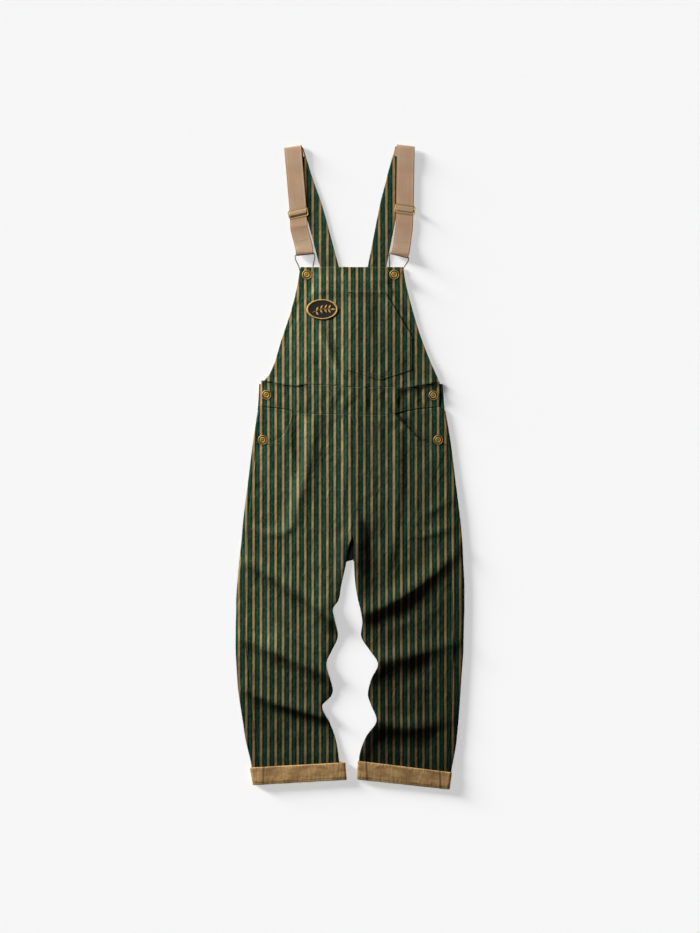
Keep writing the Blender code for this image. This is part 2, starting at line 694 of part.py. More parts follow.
def bib_and_pocket():
    """Bib, and the pocket on it, made from the bib's own points."""
    grid = bib_grid()
    sheet("bib_front", grid, CLOTH, TWILL)
    first = 1 + BIB_LEVELS.index(POCKET_TOP)
    columns = slice(BIB_LEFT_COLUMNS, BIB_LEFT_COLUMNS + BIB_POCKET_COLUMNS + 1)
    pocket = [row[columns] for row in grid[first:-1]]
    sheet("bib_pocket", lifted(pocket, SEAM_GAP + CLOTH), CLOTH, TWILL)


PATCH_SIDES = 28
# Across the patch: part of its radius, part of its thickness. The rim is overcast.
PATCH_PROFILE = ((1.0, 0.0), (1.0, 0.65), (0.96, 1.0), (0.90, 1.0), (0.84, 0.62))


def patch():
    """Oval patch sewn on the bib: a flat ground inside a raised rim."""
    base = bib_height(PATCH_CENTRE.x, PATCH_CENTRE.y) + SEAM_GAP
    build = bmesh.new()
    rings = []
    for reach, level in PATCH_PROFILE:
        ring = []
        for i in range(PATCH_SIDES):
            angle = 2 * pi * i / PATCH_SIDES
            ring.append(build.verts.new((PATCH_CENTRE.x + PATCH_HALF[0] * reach * cos(angle),
                                         PATCH_CENTRE.y + PATCH_HALF[1] * reach * sin(angle),
                                         base + PATCH_THICKNESS * level)))
        rings.append(ring)
    for low, high in zip(rings, rings[1:]):
        for i in range(PATCH_SIDES):
            k = (i + 1) % PATCH_SIDES
            build.faces.new((low[i], low[k], high[k], high[i]))
    build.faces.new(rings[0])
    build.faces.new(rings[-1])
    make_object("bib_patch", build, PATCH_GROUND)


# ---- straps and webbing -----------------------------------------------------------------
def along(points, distance):
    """Point and direction on a chain of points at a distance from its start."""
    for (ax, ay), (bx, by) in zip(points, points[1:]):
        span = hypot(bx - ax, by - ay)
        if distance <= span or (bx, by) == tuple(points[-1]):
            return (ax + (bx - ax) * distance / span, ay + (by - ay) * distance / span,
                    atan2(by - ay, bx - ax))
        distance -= span


def chain_length(points):
    return sum(hypot(b[0] - a[0], b[1] - a[1]) for a, b in zip(points, points[1:]))


def ribbon(name, stations, width, thickness, colour):
    """Flat band through stations of (x, y, z, direction across)."""
    centres = [Vector(station[:3]) for station in stations]
    upper, lower = [], []
    for i, station in enumerate(stations):
        across = Vector((cos(station[3]), sin(station[3]), 0.0))
        ahead = centres[min(i + 1, len(centres) - 1)] - centres[max(i - 1, 0)]
        normal = across.cross(ahead).normalized()
        side = across * (width / 2)
        for grid, offset in ((upper, normal * (thickness / 2)), (lower, normal * (-thickness / 2))):
            grid.append([tuple(centres[i] - side + offset), tuple(centres[i] + side + offset)])
    return wall(name, upper, lower, colour)


STRAP_ON_BIB = 12.0     # length of strap sewn on the back bib
STRAP_DROP = 16.0       # length over which it comes down to the ground


def back_strap(side):
    """Striped strap from the back bib up to the shoulder end of the webbing."""
    axis = STRAPS[side].strap_axis
    length = chain_length(axis)
    high, low = CLOTH + SEAM_GAP + BAND / 2, BAND / 2
    stations = []
    marks = [0.0, STRAP_ON_BIB, STRAP_ON_BIB + 0.35 * STRAP_DROP, STRAP_ON_BIB + 0.7 * STRAP_DROP,
             STRAP_ON_BIB + STRAP_DROP]
    marks += [mix(STRAP_ON_BIB + STRAP_DROP, length, i / 9) for i in range(1, 10)]
    for mark in marks:
        x, y, heading = along(axis, mark)
        z = mix(high, low, smooth(STRAP_ON_BIB, STRAP_ON_BIB + STRAP_DROP, mark))
        stations.append((x, y, z, heading - pi / 2))
    return ribbon("back_strap_" + side, stations, STRAP_WIDTH, BAND, TWILL)


TAIL_ON_STRAP = 22.0    # webbing sewn on the strap's end, under the fold
ON_STRAP = BAND + SEAM_GAP + WEBBING / 2
FOLD_RADIUS = (WEBBING + SEAM_GAP) / 2
BAR_LEVEL = 5.4         # height of the buckle's wire
LOOP_RADIUS = WIRE + SEAM_GAP + WEBBING / 2
SLIDER_LEVEL = ON_STRAP + WEBBING / 2 + SEAM_GAP + WIRE
SLIDER_HALF = 8.5       # from the slider's middle bar to its outer bars
STRAIGHT_TO_BAR = 14.0  # length of webbing square to the buckle
TAIL_END = 34.0         # the turned-up tail ends this far above the buckle bar


def webbing_axis(side):
    """Plan of the webbing from its fold to the bar, square to the buckle at its end."""
    strap = STRAPS[side]
    bar, button_at = Vector(strap.buckle_bar), Vector(strap.button)
    up = (bar - button_at).normalized()
    return strap.webbing_axis + [tuple(bar + up * STRAIGHT_TO_BAR), tuple(bar)]


def webbing(side):
    """Elastic: sewn on the strap, folded over, through the slider and round the bar."""
    strap = STRAPS[side]
    axis = webbing_axis(side)
    length = chain_length(axis)
    slider = strap.slider_place
    route = [(TAIL_ON_STRAP, ON_STRAP), (TAIL_ON_STRAP / 2, ON_STRAP)]
    for step in range(7):
        angle = -pi / 2 - pi * step / 6
        route.append((FOLD_RADIUS * 2 + FOLD_RADIUS * cos(angle),
                      ON_STRAP + FOLD_RADIUS + FOLD_RADIUS * sin(angle)))
    hop = WIRE * 2 + SEAM_GAP * 2 + WEBBING
    route += [(TAIL_ON_STRAP + 2, ON_STRAP + FOLD_RADIUS * 2), (TAIL_ON_STRAP + 16, ON_STRAP),
              (slider / 2, ON_STRAP), (slider - 22, ON_STRAP), (slider - SLIDER_HALF - 1, ON_STRAP),
              (slider - SLIDER_HALF + 2.6, ON_STRAP + 0.4), (slider - 2.8, ON_STRAP + hop - 0.7),
              (slider, ON_STRAP + hop), (slider + 2.8, ON_STRAP + hop - 0.7),
              (slider + SLIDER_HALF - 2.6, ON_STRAP + 0.4), (slider + SLIDER_HALF + 1, ON_STRAP),
              (length - 32, ON_STRAP), (length - 20, ON_STRAP + 0.9), (length - 10, ON_STRAP + 3.1),
              (length - 4, BAR_LEVEL + LOOP_RADIUS - 0.3)]
    for step in range(7):
        angle = pi / 2 - pi * step / 6
        route.append((length + LOOP_RADIUS * cos(angle), BAR_LEVEL + LOOP_RADIUS * sin(angle)))
    low = WEBBING / 2 + SEAM_GAP
    route += [(length - 6, low + 1.9), (length - 14, low + 0.6), (length - 24, low),
              (length - TAIL_END, low)]
    stations = []
    strap_heading = along(strap.strap_axis, chain_length(strap.strap_axis))[2] - pi / 2
    for count, (place, z) in enumerate(route):
        x, y, heading = along(axis, place)
        across = heading + pi / 2
        if count < 9:
            across = mix(strap_heading, across, count / 9)
        else:
            across = mix(across, mix(strap_heading, across, 0.6), smooth(50.0, 4.0, place))
            near_slider = smooth(34.0, 12.0, abs(place - slider))
            across = mix(across, radians(strap.slider_tilt), near_slider)
        stations.append((x, y, z, across))
    return ribbon("webbing_" + side, stations, WEBBING_WIDTH, WEBBING, KHAKI_WEBBING)


# ---- brass fittings ------------------------------------------------------------------------
def wire_ring(name, path, level, radius, sides=6):
    """Closed ring of wire lying flat, through the points of its plan."""
    grid = []
    count = len(path)
    for i, (x, y) in enumerate(path):
        before, after = Vector(path[i - 1]), Vector(path[(i + 1) % count])
        tangent = (after - before).normalized()
        normal = Vector((tangent.y, -tangent.x))
        ring = []
        for k in range(sides):
            angle = 2 * pi * (k + 0.5) / sides
            ring.append((x + normal.x * radius * cos(angle), y + normal.y * radius * cos(angle),
                         level + radius * sin(angle)))
        grid.append(ring)
    build = bmesh.new()
    rings = [[build.verts.new(p) for p in ring] for ring in grid]
    for i in range(count):
        for k in range(sides):
            m = (k + 1) % sides
            n = (i + 1) % count
            build.faces.new((rings[i][k], rings[i][m], rings[n][m], rings[n][k]))
    return make_object(name, build, BRASS, 0.35, 1.0)


def placed(points, centre, angle):
    """Plan points turned by an angle and moved to a centre."""
    return [(centre[0] + x * cos(angle) - y * sin(angle), centre[1] + x * sin(angle) + y * cos(angle))
            for x, y in points]


def rounded_box(half_x, half_y, corner, steps=3):
    points = []
    for quarter in range(4):
        cx = (half_x - corner) * (1 if quarter in (0, 3) else -1)
        cy = (half_y - corner) * (1 if quarter in (0, 1) else -1)
        for step in range(steps + 1):
            angle = pi / 2 * (quarter + step / steps)
            points.append((cx + corner * cos(angle), cy + corner * sin(angle)))
    return points


SLIDER_HALF_LENGTH = WEBBING_WIDTH / 2 + 2.2


def slider(side):
    """Brass slider: a rounded frame with a middle bar under the webbing."""
    strap = STRAPS[side]
    tilt = radians(strap.slider_tilt)
    centre = along(webbing_axis(side), strap.slider_place)[:2]
    frame = rounded_box(SLIDER_HALF_LENGTH, SLIDER_HALF, 3.5)
    ring = wire_ring("slider_" + side, placed(frame, centre, tilt), SLIDER_LEVEL, WIRE)
    bar_build = bmesh.new()
    ends = placed([(-SLIDER_HALF_LENGTH, 0.0), (SLIDER_HALF_LENGTH, 0.0)], centre, tilt)
    bmesh.ops.create_cone(bar_build, cap_ends=True, segments=8, radius1=WIRE * 0.85,
                          radius2=WIRE * 0.85, depth=SLIDER_HALF_LENGTH * 2)
    turn = Vector((ends[1][0] - ends[0][0], ends[1][1] - ends[0][1], 0.0)).to_track_quat("Z", "Y")
    bmesh.ops.rotate(bar_build, verts=bar_build.verts, matrix=turn.to_matrix())
    bmesh.ops.translate(bar_build, verts=bar_build.verts, vec=(*centre, SLIDER_LEVEL))
    bar = make_object("slider_bar_" + side, bar_build, BRASS, 0.35, 1.0)
    bar.hide_render = True
    bar.display_type = "WIRE"
    union = ring.modifiers.new("middle_bar", "BOOLEAN")
    union.operation = "UNION"
    union.object = bar


# Half of the buckle's plan in its own frame: the button at the origin, the bar up.
BUCKLE_HALF = ((0.0, -5.2), (4.2, -3.4), (8.6, -1.2), (12.4, 3.4), (14.0, 9.5), (14.6, 17.0),
               (17.0, 25.0), (19.6, 31.0), (20.6, 36.0))
BUCKLE_CORNER = 3.0


def buckle(side):
    """Bent-wire buckle: its bar in the webbing's loop, its foot round the button."""
    strap = STRAPS[side]
    rise = hypot(strap.buckle_bar[0] - strap.button[0], strap.buckle_bar[1] - strap.button[1])
    lean = atan2(strap.buckle_bar[1] - strap.button[1], strap.buckle_bar[0] - strap.button[0])
    half = list(BUCKLE_HALF)
    for step in range(1, 4):
        angle = pi / 2 * step / 3
        half.append((half[8][0] - BUCKLE_CORNER * (1 - cos(angle)),
                     rise - BUCKLE_CORNER * (1 - sin(angle))))
    points = half + [(-x, y) for x, y in reversed(half[1:])]
    return wire_ring("buckle_" + side, placed(points, strap.button, lean - pi / 2), BAR_LEVEL, WIRE)


BUTTON_SIDES = 16
SHANK_RADIUS = 3.5


def button(name, centre, ground, head_level):
    """Tack button turned about its shank: rolled rim, ring and small raised centre."""
    build = bmesh.new()
    rim = BUTTON_RADIUS
    profile = [(0.0, ground), (SHANK_RADIUS, ground), (SHANK_RADIUS, head_level), (rim * 0.9, head_level),
               (rim, head_level + 1.3), (rim * 0.93, head_level + BUTTON_HEAD * 0.9),
               (rim * 0.74, head_level + BUTTON_HEAD * 0.62), (rim * 0.42, head_level + BUTTON_HEAD * 0.72),
               (rim * 0.3, head_level + BUTTON_HEAD), (0.0, head_level + BUTTON_HEAD)]
    verts = [build.verts.new((centre[0] + r, centre[1], z)) for r, z in profile]
    edges = [build.edges.new(pair) for pair in zip(verts, verts[1:])]
    bmesh.ops.spin(build, geom=verts + edges, cent=(*centre, 0.0), axis=(0.0, 0.0, 1.0),
                   angle=2 * pi, steps=BUTTON_SIDES)
    bmesh.ops.remove_doubles(build, verts=build.verts, dist=0.001)
    return make_object(name, build, BRASS, 0.35, 1.0)


def buttons():
    for side in SIDES:
        centre = STRAPS[side].button
        ground = bib_height(*centre) + SEAM_GAP
        button("bib_button_" + side, centre, ground, BAR_LEVEL + WIRE + 0.5)
    for name, centre in SIDE_BUTTONS.items():
        side = name.rsplit("_", 1)[1]
        if name.startswith("waist"):
            ground = band_height(*centre) + SEAM_GAP
        else:
            ground = facing_height(side, *centre) + SEAM_GAP * 2
        button(name, centre, ground, ground + (1.2 if name.startswith("waist") else 2.2))


# ---- build ---------------------------------------------------------------------------------
for leftover in list(bpy.data.objects):
    bpy.data.objects.remove(leftover, do_unlink=True)

for leg_side in SIDES:
    back_leg(leg_side)
    front_leg(leg_side)
    cuff(leg_side)
    facing(leg_side)
    back_strap(leg_side)
    webbing(leg_side)
    slider(leg_side)
    buckle(leg_side)
back_band()
back_bib()
front_band()
bib_and_pocket()
patch()
buttons()
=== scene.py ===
from collections import namedtuple
from math import atan2, cos, pi, radians, sin

import bmesh
import bpy
import numpy as np
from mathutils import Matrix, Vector


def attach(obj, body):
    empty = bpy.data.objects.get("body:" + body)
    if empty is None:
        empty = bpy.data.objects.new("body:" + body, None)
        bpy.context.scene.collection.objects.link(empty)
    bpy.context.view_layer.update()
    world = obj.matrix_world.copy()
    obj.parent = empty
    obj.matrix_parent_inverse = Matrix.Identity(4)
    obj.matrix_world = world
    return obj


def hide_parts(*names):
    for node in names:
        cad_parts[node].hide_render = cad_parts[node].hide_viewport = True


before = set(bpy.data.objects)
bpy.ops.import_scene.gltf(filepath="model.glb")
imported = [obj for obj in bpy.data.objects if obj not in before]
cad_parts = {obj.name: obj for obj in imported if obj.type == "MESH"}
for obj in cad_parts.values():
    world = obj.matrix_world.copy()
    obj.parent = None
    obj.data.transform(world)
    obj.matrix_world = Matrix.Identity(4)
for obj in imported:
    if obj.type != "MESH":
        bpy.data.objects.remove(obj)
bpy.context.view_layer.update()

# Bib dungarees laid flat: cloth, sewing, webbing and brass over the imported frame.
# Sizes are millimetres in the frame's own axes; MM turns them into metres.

MM = 0.001
SIDES = ("left", "right")
OUTWARD = {"left": -1.0, "right": 1.0}

# ---- sizes shared with the cut pieces ----
CLOTH, BAND, WEBBING, CUFF_WALL, PATCH_THICKNESS, POCKET_CLOTH = 1.5, 2.0, 1.2, 1.6, 1.6, 0.9
SEAM_GAP, BAND_SEAM_GAP = 0.3, 0.5
CENTRE_X = 6.9          # centre front and centre back seam
HIP_LEVEL, THIGH_LEVEL = 5.9, 6.4
INSEAM_LEVEL = 3.1      # the inseam is drawn down until it meets the back
INSEAM_ROUND = 16.0
SEAM_DIP, SEAM_DIP_WIDTH = 0.9, 14.0
HIP_ROLL, LEG_ROLL = 2.6, 3.5
STRAP_WIDTH, WEBBING_WIDTH = 37.4, 36.0
WIRE = 1.2              # radius of the slider's wire, and of the room the webbing leaves for a bar
BUTTON_RADIUS, BUTTON_HEAD = 10.0, 3.2

LegRow = namedtuple("LegRow", "y left_out left_in right_in right_out")
LEG_ROWS = [LegRow(*row) for row in (
    (127.0, -192.0, 6.9, 6.9, 198.5), (116.6, -193.6, 6.9, 6.9, 200.1),
    (55.7, -203.1, 6.9, 6.9, 210.6), (-28.4, -213.6, 6.9, 6.9, 221.1),
    (-112.4, -224.1, 6.9, 6.9, 231.6), (-146.0, -227.0, 6.9, 6.9, 234.6),
    (-160.7, -228.3, -0.8, 8.6, 235.8), (-204.8, -233.1, -8.8, 9.0, 237.9),
    (-246.8, -236.7, -18.3, 11.6, 240.0), (-280.4, -238.8, -24.6, 17.4, 240.0),
    (-299.2, -238.8, -36.1, 22.3, 240.0), (-326.6, -239.6, -30.9, 26.2, 239.2),
    (-358.1, -240.0, -26.2, 24.4, 238.4), (-385.4, -240.0, -38.2, 41.6, 237.9),
    (-412.7, -238.6, -49.8, 59.0, 236.2), (-444.2, -236.7, -42.4, 45.8, 233.7),
    (-469.4, -234.6, -36.5, 38.9, 232.1), (-484.1, -232.5, -41.4, 38.4, 231.0),
    (-503.0, -229.7, -58.8, 44.7, 229.5), (-536.6, -224.1, -44.1, 55.7, 226.6),
    (-574.4, -217.8, -30.9, 34.2, 222.4), (-616.4, -207.5, -23.9, 20.4, 214.5),
    (-668.0, -201.0, -19.3, 19.9, 206.5))]
SeamRow = namedtuple("SeamRow", "y left right")
OUTSEAM_ROWS = [SeamRow(*row) for row in (
    (127.0, -186.0, 191.5), (55.7, -196.0, 203.6), (34.7, -197.8, 206.0), (-57.8, -208.0, 208.5),
    (-116.6, -214.0, 210.6), (-217.4, -216.7, 214.5), (-364.4, -217.8, 216.5),
    (-479.9, -207.3, 215.0), (-574.4, -196.8, 208.5), (-668.0, -182.0, 196.0))]
SCOOP_ROWS = [SeamRow(*row) for row in (
    (127.0, -121.0, 88.0), (116.6, -122.2, 93.0), (97.7, -124.7, 106.7), (80.9, -131.0, 121.4),
    (68.2, -138.4, 133.6), (58.8, -147.4, 143.4), (52.5, -161.1, 158.1), (48.3, -178.9, 177.0))]
SCOOP_BOTTOM, POCKET_LAP = 44.0, 14.0
FRONT_TOP = 116.6
BAND_ENDS, BAND_LEVEL = (-186.0, 187.6), 4.9
BACK_BAND_BOTTOM, BACK_BAND_TOP = 118.0, 173.0
BACK_FORK, BACK_INSET = -200.0, 2.0

# Heights between which one form passes into the next.
HIP_BEGINS, ROLL_NARROWS, FORK_OPENS = (-120.0, 20.0), (-100.0, 40.0), (-150.0, -190.0)
HEM_CLIMBS, FOLDS_ABOVE_HEM, FOLDS_BELOW_BAND = (-585.0, -608.0), (-622.0, -560.0), (116.6, 96.0)
ROWS_MEET_BAND, ROWS_MEET_HEM = (60.0, 116.6), (-440.0, -610.0)
SCOOP_ENDS = (SCOOP_BOTTOM - 4.0, SCOOP_BOTTOM + 6.0)
# Distances from the side of a leg over which its roll settles and its folds begin.
SIDE_SETTLES, SIDE_FOLDS = (14.0, 50.0), (1.0, 12.0)

EdgePoint = namedtuple("EdgePoint", "x y")
BAND_BOTTOM = [EdgePoint(*point) for point in (
    (-200.0, 127.0), (-185.0, 126.0), (-134.0, 120.7), (-115.0, 115.5), (-96.0, 111.5),
    (2.7, 109.0), (72.0, 108.0), (97.0, 112.0), (137.0, 120.7), (205.0, 127.0))]
BAND_TOP = [EdgePoint(*point) for point in (
    (-190.0, 180.5), (-178.0, 179.6), (-127.0, 169.5), (-85.5, 171.0), (-31.0, 170.0),
    (20.0, 166.0), (82.5, 167.0), (116.0, 164.5), (185.0, 177.0), (200.0, 178.0))]
BIB_TOP = 418.3
BIB_ROWS = [SeamRow(*row) for row in (
    (BIB_TOP, -103.7, 111.3), (391.7, -108.6, 115.3), (366.4, -113.2, 120.8),
    (341.2, -119.5, 127.5), (316.1, -126.8, 134.4), (290.9, -135.2, 142.0),
    (265.7, -143.8, 150.6), (240.5, -151.0, 160.2), (215.2, -159.0, 170.3),
    (190.1, -170.0, 181.2), (165.0, -180.0, 186.5))]
BACK_BAND_ROWS = [SeamRow(*row) for row in (
    (BACK_BAND_BOTTOM, -193.4, 198.0), (145.5, -191.4, 196.0), (BACK_BAND_TOP, -190.4, 194.0))]
BACK_BIB_ROWS = [SeamRow(*row) for row in (
    (381.0, -66.0, 76.0), (341.0, -90.0, 100.0), (291.0, -116.0, 125.0),
    (241.0, -137.0, 147.0), (203.0, -154.0, 163.0), (BACK_BAND_TOP, -170.0, 176.0))]
POCKET_LEFT, POCKET_RIGHT, POCKET_TOP, POCKET_SIDE_BOTTOM = -6.7, 130.8, 367.5, 203.0
POCKET_MOUTH_LEFT, POCKET_CORNER = 72.0, 271.9      # the two ends of the slanted mouth
POCKET_POINT = EdgePoint(63.6, 181.0)

CUFF_LIFT, HEM_INSET = CUFF_WALL + SEAM_GAP, 3.0
Cuff = namedtuple("Cuff", "top_out top_in bottom_in bottom_out")
CUFFS = {
    "left": Cuff((-210.0, -631.5), (-9.9, -620.6), (-6.9, -656.2), (-203.9, -667.4)),
    "right": Cuff((214.0, -641.6), (16.0, -617.4), (15.1, -655.6), (209.2, -676.6)),
}
Strap = namedtuple("Strap", "strap_axis webbing_axis slider_place slider_tilt buckle_bar button")
STRAPS = {
    "left": Strap([(-31.0, 372.0), (-41.8, 413.5), (-75.0, 537.4), (-98.0, 602.5), (-117.0, 664.0)],
                  [(-120.1, 672.0), (-109.6, 548.0), (-107.0, 500.0)],
                  141.0, 12.0, (-95.0, 446.0), (-90.3, 402.2)),
    "right": Strap([(47.6, 372.0), (55.7, 414.3), (81.7, 546.6), (100.5, 620.0), (113.5, 666.0)],
                   [(117.4, 674.0), (115.1, 538.6), (113.3, 500.0)],
                   135.0, -8.0, (104.0, 443.5), (93.0, 402.2)),
}
SIDE_BUTTONS = {
    "waist_button_left": (-175.1, 150.2), "waist_button_right": (174.9, 149.1),
    "hip_button_left": (-183.1, 55.7), "hip_button_right": (185.0, 55.7),
}
PATCH_CENTRE, PATCH_HALF = EdgePoint(-58.2, 329.7), (33.0, 21.0)

# ---- folds and creases ----
# Each is a ridge, or with a negative rise a trough, along a curve through three places: its
# start, middle and end. Seen along the curve its left flank is soft and its right flank falls
# away sharply. Widths are those of the left flank and of the right one at both ends; rises
# are those at the start, the middle and the end.
Fold = namedtuple("Fold", "places widths rises")
FOLDS = {"left": (
    # across the leg
    ((-230, -196, -130, -250, -38, -316), (17, 15, 19), (6.0, 8.5, 8.5)),
    ((-100, -286, -70, -308, -32, -330), (12, 16, 18), (0.0, 2.5, 4.0)),
    ((-232, -360, -144, -394, -40, -438), (20, 12, 18), (4.5, 8.5, 8.0)),
    ((-120, -356, -92, -376, -56, -392), (9, 7, 7), (0.0, 1.8, 1.0)),
    ((-118, -380, -92, -398, -60, -410), (8, 6, 6), (0.0, 1.4, 0.6)),
    ((-222, -466, -146, -498, -40, -528), (19, 10, 12), (5.0, 8.5, 7.5)),
    ((-172, -612, -178, -580, -186, -540), (9, 10, 10), (0.8, 1.6, 0.0)),
    ((-132, -612, -118, -580, -104, -548), (10, 9, 9), (0.8, 1.8, 0.8)),
    ((-190, -300, -164, -318, -138, -346), (16, 14, 14), (0.0, 1.6, 0.6)),
    # at the hip, down from the pocket
    ((-120, -118, -87, 5, -80, 92), (23, 12, 12), (3.6, 5.6, 3.6)),
    ((-198, -136, -165, -142, -130, -134), (14, 8, 8), (0.6, 2.0, 1.8)),
    ((-120, -6, -127, 50, -134, 104), (12, 9, 9), (0.6, 3.6, 3.0)),
    ((-62, -70, -55, 10, -54, 84), (8, 7, 7), (-0.4, -1.6, -0.8)),
    ((-18, -112, -9, -10, -8, 84), (13, 8, 8), (1.2, 2.4, 1.0)),
    ((-186, -128, -160, -90, -150, -40), (14, 12, 12), (0.0, 1.2, 0.0)),
), "right": (
    # across the leg
    ((24, -308, 124, -263, 230, -174), (22, 22, 11), (12.5, 13.0, 4.0)),
    ((59, -411, 128, -396, 236, -366), (20, 33, 11), (13.5, 12.0, 2.4)),
    ((56, -536, 128, -546, 208, -528), (20, 27, 12), (13.5, 12.0, 2.4)),
    ((60, -440, 48, -456, 40, -478), (16, 6, 6), (0.0, -1.5, 0.0)),
    ((36, -622, 48, -588, 58, -560), (6, 17, 17), (4.0, 4.0, 1.5)),
    ((130, -146, 168, -142, 218, -124), (11, 9, 9), (0.8, 3.8, 2.6)),
    ((150, -102, 176, -92, 212, -70), (10, 8, 8), (0.4, 2.8, 1.6)),
    ((60, -352, 120, -330, 200, -296), (14, 12, 12), (0.0, 2.2, 0.0)),
    ((100, -468, 150, -462, 200, -446), (14, 12, 12), (0.0, 1.6, 0.0)),
    # at the hip
    ((82, -214, 103, -30, 93, 100), (14, 10, 9), (1.8, 3.8, 2.6)),
    ((95, -214, 117, -25, 107, 104), (7, 7, 7), (-1.0, -1.0, -1.2)),
    ((24, -226, 18, -160, 15, -104), (6, 15, 15), (2.4, 9.5, 0.0)),
    ((44, -196, 46, -160, 48, -120), (8, 10, 10), (0.0, -1.8, 0.0)),
    ((98, 106, 126, 84, 160, 50), (6, 6, 6), (1.2, 2.6, 0.6)),
    ((94, 66, 118, 84, 148, 100), (6, 5, 5), (0.4, 1.9, 0.4)),
    ((56, -60, 57, 20, 58, 90), (6, 5, 5), (0.4, 0.9, 0.5)),
    ((24, -62, 34, -60, 46, -56), (4, 5, 5), (0.4, 1.2, 0.2)),
), "bib": (
    ((-24, 176, -48, 256, -64, 302), (14, 8, 8), (1.8, 3.8, 1.2)),
    ((-70, 196, -84, 226, -104, 250), (12, 12, 12), (0.4, 1.8, 0.0)),
    ((-9, 190, -8, 300, -8, 396), (11, 5, 5), (1.2, 1.3, 0.6)),
    ((38, 214, 40, 300, 39, 366), (9, 8, 8), (0.6, 1.8, 0.8)),
    ((-30, 346, -48, 374, -70, 402), (12, 9, 9), (0.4, 1.8, 0.6)),
    ((112, 206, 98, 232, 84, 262), (10, 10, 10), (0.6, 2.0, 0.0)),
    ((64, 226, 58, 262, 56, 300), (12, 12, 12), (0.0, 1.2, 0.0)),
), "band": (
    ((-32, 170, -22, 158, -12, 150), (5, 5, 5), (0.4, 1.6, 0.0)),
    ((-52, 146, -56, 156, -62, 168), (5, 5, 5), (0.0, 1.1, 0.6)),
    ((10, 146, 10, 156, 6, 168), (5, 4, 4), (0.0, 1.2, 1.0)),
    ((38, 132, 36, 150, 30, 166), (6, 6, 6), (0.4, 1.6, 1.2)),
    ((70, 140, 62, 152, 60, 165), (5, 5, 5), (0.2, 1.4, 1.0)),
    ((101, 118, 99, 146, 97, 168), (8, 9, 9), (1.6, 2.4, 2.6)),
    ((116, 132, 128, 154, 140, 172), (7, 6, 6), (0.6, 1.4, 0.4)),
    ((-136, 140, -140, 160, -150, 176), (8, 8, 8), (0.2, 1.2, 0.2)),
    ((-104, 124, -108, 150, -112, 170), (7, 7, 7), (0.8, 1.0, 0.4)),
)}
